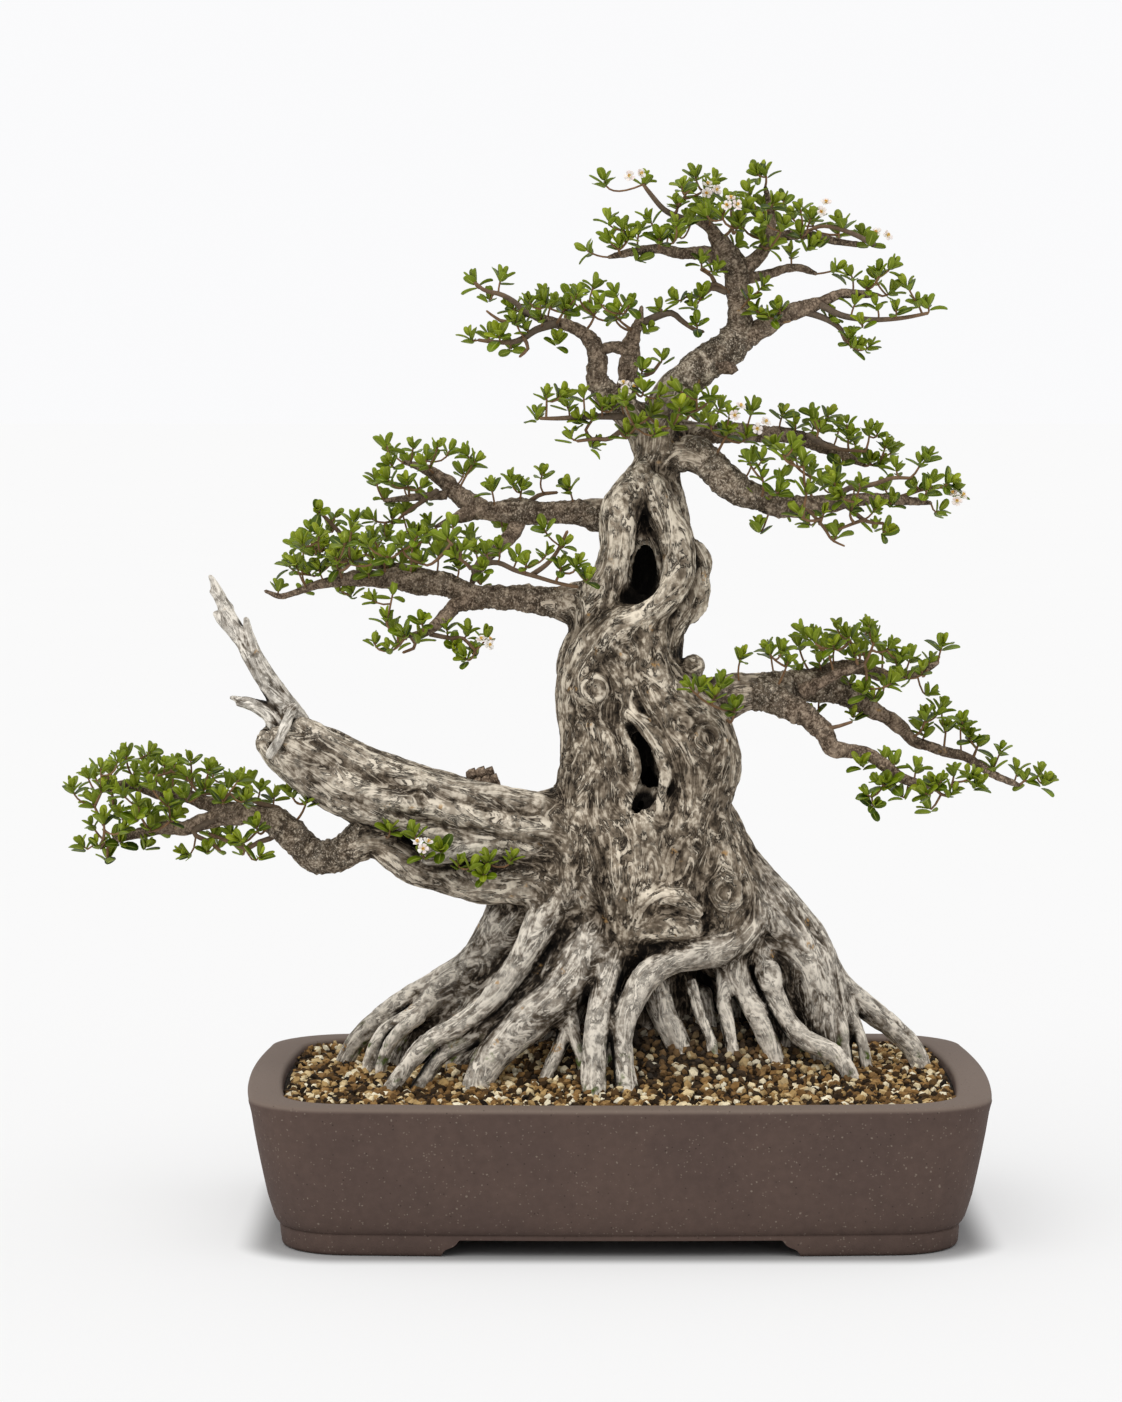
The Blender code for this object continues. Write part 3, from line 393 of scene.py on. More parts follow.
class WoodGrid:
    """A block of space in which strands of wood are melted together.

    Each strand is a chain of cones with round ends, and the distance to it is the least of the
    distances to its cones. The strands' distances d melt into -k ln(sum of e^(-d/k)), which is
    close to the least of them and rounds the creases by about k.
    """

    def __init__(self, low: Array, high: Array, pitch: float, softness: float) -> None:
        """Lay out the block.

        Args:
            low: its lowest corner, in mm.
            high: its highest corner.
            pitch: the grid's pitch.
            softness: how far the strands' surfaces melt into each other.
        """
        self.low = low
        self.pitch = pitch
        self.softness = softness
        self.count = np.ceil((high - low) / pitch).astype(int)
        self.melt = np.zeros(self.count, np.float32)

    def axes(self, first: Array, last: Array) -> list[Array]:
        """The grid's coordinates between two corners, shaped to be combined into a block.

        Args:
            first: the first indices.
            last: the ones after the last.

        Returns:
            The x, y and z coordinates, in mm.
        """
        shapes = ((-1, 1, 1), (1, -1, 1), (1, 1, -1))
        return [(self.low[axis] + self.pitch * np.arange(first[axis], last[axis])).astype(np.float32)
                .reshape(shapes[axis]) for axis in range(3)]

    def span(self, corner_low: Array, corner_high: Array) -> tuple[Array, Array]:
        """The grid indices that hold a box.

        Args:
            corner_low: its lowest corner, in mm.
            corner_high: its highest corner.

        Returns:
            The first indices, and the ones after the last.
        """
        first = np.clip(np.floor((corner_low - self.low) / self.pitch).astype(int), 0, self.count)
        last = np.clip(np.ceil((corner_high - self.low) / self.pitch).astype(int) + 1, 0, self.count)
        return first, last

    def distance(self, path: Array, margin: float) -> tuple[tuple[slice, ...], Array] | None:
        """The distance to a strand, on the part of the grid that lies near it.

        Args:
            path: rows of (x, y, z, radius).
            margin: how far round the strand the distance is needed.

        Returns:
            Where in the grid the block lies, and the distances in it.
        """
        reach = path[:, 3].max() + margin
        first, last = self.span(path[:, :3].min(0) - reach, path[:, :3].max(0) + reach)
        if np.any(last <= first):
            return None
        nearest = np.full(last - first, 1e3, np.float32)
        for start, end in zip(path[:-1], path[1:]):
            around = max(start[3], end[3]) + margin
            near, far = self.span(np.minimum(start, end)[:3] - around, np.maximum(start, end)[:3] + around)
            if np.any(far <= near):
                continue
            x, y, z = self.axes(near, far)
            axis = (end - start)[:3]
            x, y, z = x - start[0], y - start[1], z - start[2]
            part = np.clip((x * axis[0] + y * axis[1] + z * axis[2]) / max(axis @ axis, 1e-6), 0, 1)
            away = np.sqrt((x - part * axis[0]) ** 2 + (y - part * axis[1]) ** 2 + (z - part * axis[2]) ** 2)
            away -= start[3] + part * (end[3] - start[3])
            here = block(near - first, far - first)
            np.minimum(nearest[here], away, out=nearest[here])
        return block(first, last), nearest

    def add(self, path: Array) -> None:
        """Melt a strand into the block.

        Args:
            path: rows of (x, y, z, radius).
        """
        found = self.distance(path, 6 * self.softness)
        if found is not None:
            where, nearest = found
            self.melt[where] += np.exp(np.clip(-nearest / self.softness, -20, 40))

    def solid(self) -> Array:
        """The distance to the melted wood, negative inside it."""
        return -self.softness * np.log(np.maximum(self.melt, 1e-9))

    def carve(self, values: Array, path: Array, rounding: float) -> None:
        """Cut a strand of hollow out of the wood.

        Args:
            values: the distances to the wood's surface, which are changed.
            path: rows of (x, y, z, radius).
            rounding: how far its lip is rounded.
        """
        found = self.distance(path, 4 * rounding)
        if found is not None:
            where, nearest = found
            both = np.stack([values[where], -nearest])
            values[where] = rounding * np.log(np.exp(np.clip(both / rounding, -40, 40)).sum(0))

    def surface(self, values: Array) -> Shape:
        """The skin where the values pass through nought.

        A cell of the grid that the skin passes through gets one vertex, at the mean of the
        places where its edges are crossed, and each crossed edge of the grid gets a quad
        between its four cells.

        Args:
            values: the distance at each point of the grid, negative inside.

        Returns:
            The closed skin, facing outwards.
        """
        inside = values < 0
        cells = tuple(size - 1 for size in inside.shape)
        corners = [(a, b, c) for a in (0, 1) for b in (0, 1) for c in (0, 1)]
        filled = np.zeros(cells, np.uint8)
        for a, b, c in corners:
            filled += inside[a:a + cells[0], b:b + cells[1], c:c + cells[2]]
        crossed = np.argwhere((filled > 0) & (filled < 8))
        index = np.full(cells, -1, np.int64)
        index[tuple(crossed.T)] = np.arange(len(crossed))
        total = np.zeros((len(crossed), 3))
        hits = np.zeros((len(crossed), 1))
        for first in corners:
            for axis in range(3):
                if first[axis]:
                    continue
                step = np.eye(3, dtype=int)[axis]
                near = values[tuple((crossed + first).T)]
                far = values[tuple((crossed + first + step).T)]
                meets = ((near < 0) != (far < 0))[:, None]
                part = near / np.where(near == far, 1, near - far)
                total += np.where(meets, np.array(first) + part[:, None] * step, 0)
                hits += meets
        points = self.low + self.pitch * (crossed + total / hits)
        quads = []
        for axis in range(3):
            ahead, beside, above = (np.eye(3, dtype=int)[(axis + turn) % 3] for turn in range(3))
            limit = tuple(size - step for size, step in zip(inside.shape, ahead))
            start = inside[:limit[0], :limit[1], :limit[2]]
            edge = np.argwhere(start != inside[ahead[0]:, ahead[1]:, ahead[2]:])
            ring = [index[tuple((edge - shift).T)] for shift in (beside + above, above, beside * 0, beside)]
            faces = np.stack(ring, axis=1)
            outward = start[tuple(edge.T)]
            quads.append(np.where(outward[:, None], faces, faces[:, ::-1]))
        return Shape(points, np.concatenate(quads))

    def sample(self, values: Array, points: Array) -> Array:
        """Read values between the grid's points.

        Args:
            values: one or several for each grid point.
            points: places in mm.

        Returns:
            The value or values at each place.
        """
        scaled = np.clip((points - self.low) / self.pitch, 0, self.count - 1.001)
        low = scaled.astype(np.int64)
        return read_between(values, low, (scaled - low).astype(np.float32))


@dataclass
class GrainField:
    """Which way the wood's fibres run: the mean of the strands' own directions, each weighted
    by e^(-d/k) of the distance d to it, with rings round the knots."""

    low: Array
    high: Array
    pitch: float = 3.0
    reach: float = 2.6

    def __post_init__(self) -> None:
        """Lay out a coarse grid for the directions and the tones."""
        self.grid = WoodGrid(self.low, self.high, self.pitch, self.reach)
        self.flow = np.zeros((*self.grid.count, 4), np.float32)

    def add(self, path: Array, tone: float) -> None:
        """Let a strand pull the directions and tones near it.

        Args:
            path: rows of (x, y, z, radius).
            tone: how weathered it is.
        """
        found = self.grid.distance(path, 12.0)
        if found is None:
            return
        where, nearest = found
        weight = np.exp(np.clip(-nearest / self.reach, -8, 4))
        ahead = unit(np.gradient(path[:, :3], axis=0))
        x, y, z = self.grid.axes([part.start for part in where], [part.stop for part in where])
        best = np.full(nearest.shape, 1e6, np.float32)
        pull = np.zeros((*nearest.shape, 4), np.float32)
        pull[..., 3] = tone
        for centre, direction in zip(path[::2], ahead[::2]):
            away = (x - centre[0]) ** 2 + (y - centre[1]) ** 2 + (z - centre[2]) ** 2
            closer = away < best
            best[closer] = away[closer]
            pull[closer, :3] = direction
        self.flow[where] += weight[..., None] * pull
        self.grid.melt[where] += weight

    def finish(self) -> None:
        """Turn the sums into means."""
        self.flow /= np.maximum(self.grid.melt, 1e-6)[..., None]

    def direction(self, points: Array) -> Array:
        """The fibres' direction at each place."""
        return unit(self.grid.sample(self.flow[..., :3], points))

    def tone(self, points: Array) -> Array:
        """How weathered the wood is at each place."""
        return self.grid.sample(self.flow[..., 3], points)


def comb(points: Array, grain: GrainField, waves: list[tuple[Lattice, float]], steps: int,
         stride: float = 1.3) -> list[Array]:
    """Streaks that follow the fibres: noise averaged along the fibre through each point, with
    weights that fall as cos^2 from the point to the ends.

    Args:
        points: places in mm.
        grain: which way the fibres run.
        waves: the noises and their wavelengths.
        steps: how many steps each way the average reaches.
        stride: the length of a step, in mm.

    Returns:
        For each noise, one value for each point, scaled to a spread of one.
    """
    totals = [lattice.at(points, wavelength) for lattice, wavelength in waves]
    for way in (1, -1):
        walker = points.copy()
        for step in range(1, steps + 1):
            walker = walker + way * stride * grain.direction(walker)
            share = math.cos(math.pi / 2 * step / (steps + 1)) ** 2
            for number, (lattice, wavelength) in enumerate(waves):
                totals[number] += share * lattice.at(walker, wavelength)
    return [(total - total.mean()) / max(total.std(), 1e-6) for total in totals]


@dataclass
class Knot:
    """A healed branch scar on the front of the wood: a ring with a dimple in it, in mm."""

    x: float
    z: float
    radius: float
    rise: float = 1.2
    dimple: float = 1.2

    def middle(self, points: Array) -> Array:
        """Where the sight line through the knot first meets the surface.

        Args:
            points: the surface's vertices.

        Returns:
            The vertex that lies there.
        """
        reach = -VIEWPOINT[1] / (points[:, 1] - POT_MIDDLE[1] - VIEWPOINT[1])
        local = points - POT_MIDDLE
        flat = VIEWPOINT + (local - VIEWPOINT) * reach[:, None]
        aside = np.hypot(flat[:, 0] - self.x, flat[:, 2] - self.z)
        return points[np.argmin(np.where(aside < 2.0, points[:, 1], 1e6 + aside))]

    def divert(self, grain: GrainField, middle: Array, facing: Array) -> None:
        """Turn the fibres round the knot as a stream turns round a post, v = u - (R/r)^2
        (2 (u.e) e - u) with e the direction away from its middle, and in rings inside it.

        Args:
            grain: the fibres.
            middle: the knot's middle.
            facing: the direction that the surface faces there.
        """
        first, last = grain.grid.span(middle - 3 * self.radius, middle + 3 * self.radius)
        x, y, z = np.meshgrid(*[axis.ravel() for axis in grain.grid.axes(first, last)], indexing="ij")
        away = np.stack([x, y, z], axis=-1) - middle
        away -= (away @ facing)[..., None] * facing
        length = np.linalg.norm(away, axis=-1, keepdims=True)
        away /= np.maximum(length, 1e-6)
        here = block(first, last)
        flow = grain.flow[here][..., :3]
        along = (flow * away).sum(-1, keepdims=True)
        share = np.minimum((self.radius / np.maximum(length, 1e-6)) ** 2, 1)
        ring = np.cross(facing, away)
        ring *= np.sign((ring * flow).sum(-1, keepdims=True) + 1e-9)
        turned = flow - share * (2 * along * away - flow)
        grain.flow[here][..., :3] = np.where(length < self.radius, ring, turned)

    def lift(self, points: Array, middle: Array) -> Array:
        """How far each point is pushed out: a bell over the ring, less a bell in its middle."""
        away = np.linalg.norm(points - middle, axis=1) / self.radius
        return self.rise * bell(away, 0.85, 0.32) - self.dimple * bell(away, 0.0, 0.45)

    def shading(self, points: Array, middle: Array) -> tuple[Array, Array]:
        """Painted light and shade in bells: a painted highlight on the ring between two creases of painted
        shade, and painted shade in its middle.

        Args:
            points: the surface's vertices.
            middle: the knot's middle.

        Returns:
            The painted light and shade that the ring and its creases give each point, and how much painted
            shade the middle gives it.
        """
        away = np.linalg.norm(points - middle, axis=1) / self.radius
        creases = bell(away, 0.45, 0.14) + bell(away, 1.2, 0.13)
        ring = 0.35 * bell(away, 0.85, 0.2) - 0.8 * creases
        return ring, min(self.dimple / 3, 1) * np.exp(-(away / 0.3) ** 4)


@dataclass
class Wood:
    """Wood melted together from strands, with bark that follows its fibres."""

    strands: list[Strand]
    hollows: list[Strand] = field(default_factory=list)
    knots: list[Knot] = field(default_factory=list)
    pitch: float = 1.5
    softness: float = 1.0
    relief: float = 1.0
    plate_wave: float = 4.2
    streak_wave: float = 3.0
    crumb_wave: float = 2.6
    lump_waves: tuple[float, float] = (15.0, 6.0)
    grain_waves: tuple[float, float, float] = (6.4, 5.2, 5.8)
    seed: int = 5
    soil: "GravelSoil | None" = None

    def shape(self) -> Shape:
        """Melt, carve and skin the strands, then raise the bark on them.

        The bark's height is the size of a streaked noise, so that it has narrow cracks where
        that noise passes through nought, plus finer streaks and crumbs.

        Returns:
            The surface, with marks for the grain, the bark's height, painted shade in hollows and narrow
            creases, painted light and shade by the wood's form, and how bleached it is.
        """
        paths = [smooth_path(strand.stations, 3.5) for strand in self.strands]
        low = np.min([(path[:, :3] - path[:, 3:]).min(0) for path in paths], axis=0) - 5
        high = np.max([(path[:, :3] + path[:, 3:]).max(0) for path in paths], axis=0) + 5
        grid = WoodGrid(low, high, self.pitch, self.softness)
        grain = GrainField(low - 6, high + 6)
        for path, strand in zip(paths, self.strands):
            grid.add(path)
            grain.add(path, strand.tone)
        grain.finish()
        solid = grid.solid()
        if self.soil is not None:
            x, y, z = grid.axes(np.zeros(3, int), grid.count)
            ground = self.soil.height(x - POT_MIDDLE[0], y - POT_MIDDLE[1]) - BURIED
            solid = np.maximum(solid, ground - z)
        whole = solid.copy()
        for hollow in self.hollows:
            grid.carve(solid, smooth_path(hollow.stations, 2.5), 0.8)
        skin = grid.surface(solid)
        outward = skin.normals()
        for knot in self.knots:
            middle = knot.middle(skin.points)
            nearest = np.argmin(np.linalg.norm(skin.points - middle, axis=1))
            knot.divert(grain, middle, outward[nearest])
        # Painted shade: the skin deep in a carved hollow and in narrow creases is marked to be coloured near
        # black.
        buried = blend(-grid.sample(whole, skin.points), 0.8, 5.0)
        narrow = 1 - blend(grid.sample(solid, skin.points + 5.0 * outward), -1.0, 4.2)
        # Painted shade where other wood closes in within about 11 mm.
        occlusion_shade = 1 - blend(grid.sample(solid, skin.points + 11.0 * outward), 1.0, 10.0)
        slim = blend(grid.sample(solid, skin.points - 10.0 * outward), -10.0, -6.0)
        form = grid.sample(soften(np.clip(solid, -9, 9), 3), skin.points)
        hollow = np.maximum(buried, narrow)
        # Painted light and shade by form: convex and slim wood lighter, closed-in wood darker.
        painted_light_and_shade = np.clip(0.9 * form, -1.0, 0.6) + 0.25 * slim - 0.6 * occlusion_shade
        tone = grain.tone(skin.points)
        skin.marks["bleach"] = tone
        noises = [Lattice(self.seed + number) for number in range(3)]
        coarse, fine, crumbs = noises
        plates, streaks = comb(skin.points, grain, [(coarse, self.plate_wave), (fine, self.streak_wave)], 7)
        across = comb(skin.points, grain, list(zip(noises, self.grain_waves)), 11, 1.7)
        skin.marks["grain"] = np.stack(across, axis=1)
        rough = crumbs.at(skin.points, self.crumb_wave)
        plate = np.minimum(np.abs(plates) * 1.5, 1.3) - 0.75
        height = plate + 0.38 * np.clip(streaks, -1.6, 1.6) + 0.35 * rough
        skin.marks["height"] = height
        tones = [step.value for step in (Tone.YOUNG, Tone.OLD, Tone.WORN, Tone.BARE)]
        depth = self.relief * np.interp(tone, tones, [0.4, 0.62, 0.36, 0.4])
        large, small = self.lump_waves
        lumps = 0.9 * coarse.at(skin.points, large) + 0.35 * fine.at(skin.points, small)
        lift = depth * height + lumps * np.interp(tone, [0, 0.5, 1.0], [0.4, 0.8, 0.3])
        # Painted highlight on the lumps that stand out.
        painted_light_and_shade = painted_light_and_shade + 0.22 * lumps
        for knot in self.knots:
            middle = knot.middle(skin.points)
            lift += knot.lift(skin.points, middle)
            # Painted light and shade round each knot: a lit ring, shaded creases, a shaded middle.
            ring, dark = knot.shading(skin.points, middle)
            painted_light_and_shade = painted_light_and_shade + ring
            hollow = np.maximum(hollow, dark)
        skin.marks |= {"hollow": hollow, "painted_light_and_shade": painted_light_and_shade}
        skin.points = skin.points + outward * lift[:, None]
        return skin


# ---------------------------------------------------------------- node trees


def paint(red: float, green: float, blue: float) -> Colour:
    """A colour named as screens name it, 0 to 255, in the linear values that shaders take."""
    return tuple((part / 255 / 12.92) if part < 10.3 else ((part / 255 + 0.055) / 1.055) ** 2.4
                 for part in (red, green, blue))


class Wiring:
    """A node tree under construction: each method adds a node and gives back its output."""

    def __init__(self, tree: NodeTree) -> None:
        """Take the tree to build in."""
        self.tree = tree

    def put(self, socket: Socket, value: object) -> None:
        """Link a socket to another, or set it.

        Args:
            socket: an input.
            value: the output that feeds it, or its plain value.
        """
        if isinstance(value, Socket):
            self.tree.links.new(value, socket)
        elif isinstance(value, tuple) and len(socket.default_value) == 4:
            socket.default_value = (*value, 1.0)
        else:
            socket.default_value = value

    def node(self, kind: str, inputs: dict[int | str, object] | None = None, **settings: object) -> Node:
        """Add a node.

        Args:
            kind: its type.
            inputs: what its inputs get, by number or name.
            settings: its properties.

        Returns:
            The node.
        """
        made = self.tree.nodes.new(kind)
        for key, value in settings.items():
            setattr(made, key, value)
        for key, value in (inputs or {}).items():
            self.put(made.inputs[key], value)
        return made

    def mark(self, name: str, output: str = "Fac") -> Socket:
        """A vertex attribute."""
        return self.node("ShaderNodeAttribute", attribute_name=name).outputs[output]

    def noise(self, at: Socket, scale: object, detail: float = 2.0, roughness: float = 0.5) -> Socket:
        """Cloudy noise from 0 to 1."""
        inputs = {"Vector": at, "Scale": scale, "Detail": detail, "Roughness": roughness}
        return self.node("ShaderNodeTexNoise", inputs).outputs["Fac"]

    def math(self, operation: str, first: object, second: object = 0.0, clamp: bool = False) -> Socket:
        """A sum on one or two values."""
        return self.node("ShaderNodeMath", {0: first, 1: second}, operation=operation,
                         use_clamp=clamp).outputs[0]

    def plus(self, first: object, second: object) -> Socket:
        """The sum of two values."""
        return self.math("ADD", first, second)

    def minus(self, first: object, second: object) -> Socket:
        """What is left of the first value."""
        return self.math("SUBTRACT", first, second)

    def times(self, first: object, second: object) -> Socket:
        """The product of two values."""
        return self.math("MULTIPLY", first, second)

    def span(self, value: Socket, low: float, high: float, to_low: float = 0.0,
             to_high: float = 1.0) -> Socket:
        """Carry a value smoothly from one range to another."""
        return self.node("ShaderNodeMapRange", dict(enumerate((value, low, high, to_low, to_high))),
                         interpolation_type="SMOOTHSTEP").outputs[0]

    def ramp(self, value: Socket, stops: tuple[tuple[float, Colour], ...]) -> Socket:
        """Colours laid along a value.

        Args:
            value: where the colours are read.
            stops: the places of the colours, and the colours.

        Returns:
            The colour.
        """
        made = self.node("ShaderNodeValToRGB", {"Fac": value})
        band = made.color_ramp.elements
        while len(band) < len(stops):
            band.new(0.5)
        for element, (stop, colour) in zip(band, stops):
            element.position = stop
            element.color = (*colour, 1.0)
        return made.outputs["Color"]

    def mix(self, share: object, first: object, second: object, kind: str = "MIX") -> Socket:
        """Blend two colours."""
        return self.node("ShaderNodeMix", {0: share, 6: first, 7: second}, data_type="RGBA",
                         blend_type=kind).outputs[2]

    def vector(self, operation: str, inputs: dict[int | str, object]) -> Socket:
        """A sum on vectors, or a vector's length."""
        made = self.node("ShaderNodeVectorMath", inputs, operation=operation)
        return made.outputs["Value" if operation == "LENGTH" else "Vector"]

    def group(self, tree: NodeTree, **inputs: object) -> bpy.types.NodeOutputs:
        """Place a shared effect, with its own values."""
        return self.node("ShaderNodeGroup", inputs, node_tree=tree).outputs


class Effect(Wiring):
    """A shared effect under construction: a node group with named inputs and outputs."""

    def __init__(self, name: str, inputs: dict[str, str], outputs: dict[str, str]) -> None:
        """Begin the group.

        Args:
            name: its name.
            inputs: each input's kind (Float, Vector or Color), by name.
            outputs: each output's kind.
        """
        super().__init__(bpy.data.node_groups.new(name, "ShaderNodeTree"))
        for way, sockets in (("INPUT", inputs), ("OUTPUT", outputs)):
            for key, kind in sockets.items():
                self.tree.interface.new_socket(key, in_out=way, socket_type=f"NodeSocket{kind}")
        self.given = self.node("NodeGroupInput").outputs
        self.result = self.node("NodeGroupOutput").inputs


@cache
def fibre_lines() -> NodeTree:
    """Fine lines along the grain: noise whose coordinates hardly change along a fibre.

    Returns:
        The group.
    """
    effect = Effect("fibre_lines", {"Grain": "Vector", "Place": "Vector", "Fineness": "Float"},
                    {"Lines": "Float", "Cracks": "Float"})
    given = effect.given
    scaled = effect.vector("SCALE", {0: given["Grain"], "Scale": given["Fineness"]})
    lines = effect.noise(scaled, 1.0, 3.0, 0.6)
    flecks = effect.noise(given["Place"], 420.0)
    effect.put(effect.result["Lines"], effect.plus(effect.times(lines, 0.68), effect.times(flecks, 0.32)))
    gap = effect.math("ABSOLUTE", effect.minus(lines, 0.5))
    effect.put(effect.result["Cracks"], effect.span(gap, 0.0, 0.075, 1.0, 0.0))
    return effect.tree


@cache
def scattered_specks() -> NodeTree:
    """Scattered specks: the cells of a mosaic whose middles are near and whose lot is drawn.

    Returns:
        The group.
    """
    effect = Effect("scattered_specks", {"Place": "Vector", "Scale": "Float", "Size": "Float",
                                         "Share": "Float"}, {"Mask": "Float"})
    given = effect.given
    cells = effect.node("ShaderNodeTexVoronoi", {"Vector": given["Place"], "Scale": given["Scale"]}).outputs
    lot = effect.node("ShaderNodeSeparateColor", {"Color": cells["Color"]}).outputs["Red"]
    drawn = effect.math("LESS_THAN", lot, given["Share"])
    soft = effect.math("MULTIPLY", effect.minus(given["Size"], cells["Distance"]), 8.0, clamp=True)
    effect.put(effect.result["Mask"], effect.times(drawn, soft))
    return effect.tree


@cache
def mottle() -> NodeTree:
    """Lighter and darker patches laid over a colour.

    Returns:
        The group.
    """
    effect = Effect("mottle", {"Colour": "Color", "Place": "Vector", "Scale": "Float", "Depth": "Float"},
                    {"Colour": "Color"})
    given = effect.given
    swing = effect.times(effect.minus(effect.noise(given["Place"], given["Scale"], 3.0), 0.5), given["Depth"])
    level = effect.plus(effect.times(swing, 2.0), 1.0)
    grey = effect.node("ShaderNodeCombineColor", dict.fromkeys(("Red", "Green", "Blue"), level))
    effect.put(effect.result["Colour"], effect.mix(1.0, given["Colour"], grey.outputs["Color"], "MULTIPLY"))
    return effect.tree


class Dressing(Wiring):
    """A material under construction."""

    def __init__(self, name: str, **values: float) -> None:
        """Begin the material.

        Args:
            name: its name.
            values: plain values for the shader's own sockets, with underscores for spaces.
        """
        self.made = bpy.data.materials.new(name)
        self.made.use_nodes = True
        super().__init__(self.made.node_tree)
        self.shader = self.tree.nodes["Principled BSDF"].inputs
        self.place = self.node("ShaderNodeTexCoord").outputs["Object"]
        for key, value in values.items():
            self.shader[key.replace("_", " ")].default_value = value

    def mottle(self, colour: Socket, scale: float, depth: float) -> Socket:
        """Lay lighter and darker patches over a colour."""
        return self.group(mottle(), Colour=colour, Place=self.place, Scale=scale, Depth=depth)["Colour"]

    def finish(self, colour: Socket, rough: tuple[Socket | float, ...], relief: Socket, strength: float,
               distance: float) -> Material:
        """Feed the shader.

        Args:
            colour: the base colour.
            rough: a value, its low and high, and the roughness at each; or nothing.
            relief: the height of the fine relief.
            strength: how strongly it shows.
            distance: how tall it is, in metres.

        Returns:
            The material.
        """
        bump = self.node("ShaderNodeBump", {"Height": relief, "Strength": strength, "Distance": distance})
        self.put(self.shader["Base Color"], colour)
        self.put(self.shader["Normal"], bump.outputs["Normal"])
        if rough:
            self.put(self.shader["Roughness"], self.span(*rough))
        return self.made


@dataclass(frozen=True)
class PatchyFinish:
    """Two colours in patches, with roughness and fine relief that follow the same noise."""

    name: str
    first: Colour
    second: Colour
    noise: tuple[float, float, float]
    blend: tuple[float, float, float, float]
    mottle: tuple[float, float]
    rough: tuple[float, float, float, float]
    relief: tuple[float, float]
    specular: float = 0.5
    metallic: float = 0.0

    def material(self) -> Material:
        """Colour, roughen and raise by the noise.

        Returns:
            The material.
        """
        work = Dressing(self.name, Specular_IOR_Level=self.specular, Metallic=self.metallic)
        patches = work.noise(work.place, *self.noise)
        colour = work.mix(work.span(patches, *self.blend), self.first, self.second)
        return work.finish(work.mottle(colour, *self.mottle), (patches, *self.rough), patches, *self.relief)


@dataclass(frozen=True)
class BarkFinish:
    """Bark, worn roots and bleached deadwood, told apart by the wood's own marks."""

    name: str = "weathered_bark"
    crack: Colour = paint(28, 23, 18)
    shade: Colour = paint(86, 75, 62)
    middle: Colour = paint(138, 125, 108)
    light: Colour = paint(222, 210, 190)
    bare_dark: Colour = paint(96, 86, 74)
    bare_light: Colour = paint(232, 225, 213)
    young_dark: Colour = paint(82, 67, 55)
    young_light: Colour = paint(180, 158, 136)
    lichen: Colour = paint(178, 138, 84)
    moss: Colour = paint(82, 98, 42)
    # near black, painted shade for hollows and creases
    hollow: Colour = paint(12, 9, 7)
    fineness: float = 1.45

    def material(self) -> Material:
        """Colour by the bark's height and its painted light and shade, then by how bare, patched and mossy it
        is, with painted shade in its hollows.

        Returns:
            The material.
        """
        work = Dressing(self.name, Specular_IOR_Level=0.12)
        grain = work.mark("grain", "Vector")
        fibres = work.group(fibre_lines(), Grain=grain, Place=work.place, Fineness=self.fineness)
        lines, bleach = fibres["Lines"], work.mark("bleach")
        tall = work.span(work.mark("height"), -1.5, 1.1)
        level = work.plus(work.times(tall, 0.30), work.times(work.span(lines, 0.37, 0.63), 0.42))
        # Painted light and shade: ridges lightened, closed-in wood darkened.
        level = work.plus(work.plus(level, 0.09), work.times(work.mark("painted_light_and_shade"), 0.27))
        bark = work.ramp(level, ((0.10, self.crack), (0.32, self.shade), (0.56, self.middle),
                                 (0.90, self.light)))
        young = work.ramp(level, ((0.05, self.crack), (0.32, self.young_dark), (0.95, self.young_light)))
        bare = work.ramp(level, ((0.14, self.crack), (0.36, self.bare_dark), (0.80, self.bare_light)))
        old, bareness = work.span(bleach, 0.1, 0.45), work.span(bleach, 0.55, 0.95)
        colour = work.mottle(work.mix(bareness, work.mix(old, young, bark), bare), 38.0, 0.4)
        broken = work.span(work.noise(work.place, 170.0), 0.40, 0.58)
        depth = work.minus(work.plus(0.5, work.times(old, 0.45)), work.times(bareness, 0.5))
        split = work.times(work.times(fibres["Cracks"], broken), depth)
        colour = work.mix(split, colour, self.crack)
        patch = work.times(work.span(work.noise(work.place, 95.0, 1.0), 0.70, 0.76),
                           work.span(work.noise(work.place, 620.0), 0.45, 0.6))
        colour = work.mix(work.times(patch, 0.75), colour, self.lichen)
        # Moss in patches on the low wood.
        damp = work.span(work.noise(work.place, 140.0, 3.0), 0.57, 0.70)
        colour = work.mix(work.times(damp, work.mark("moss")), colour, self.moss)
        # Painted shade: hollows and narrow creases coloured near black.
        colour = work.mix(work.span(work.mark("hollow"), 0.2, 0.95, 0.0, 0.97), colour, self.hollow)
        relief = work.minus(lines, work.times(split, 0.4))
        return work.finish(colour, (lines, 0.2, 0.8, 0.95, 0.78), relief, 0.9, 0.0013)


# ---------------------------------------------------------------- the tree's layout, in mm
# Each strand is a list of (x, z, depth, radius), from the root tips up to the branch ends.

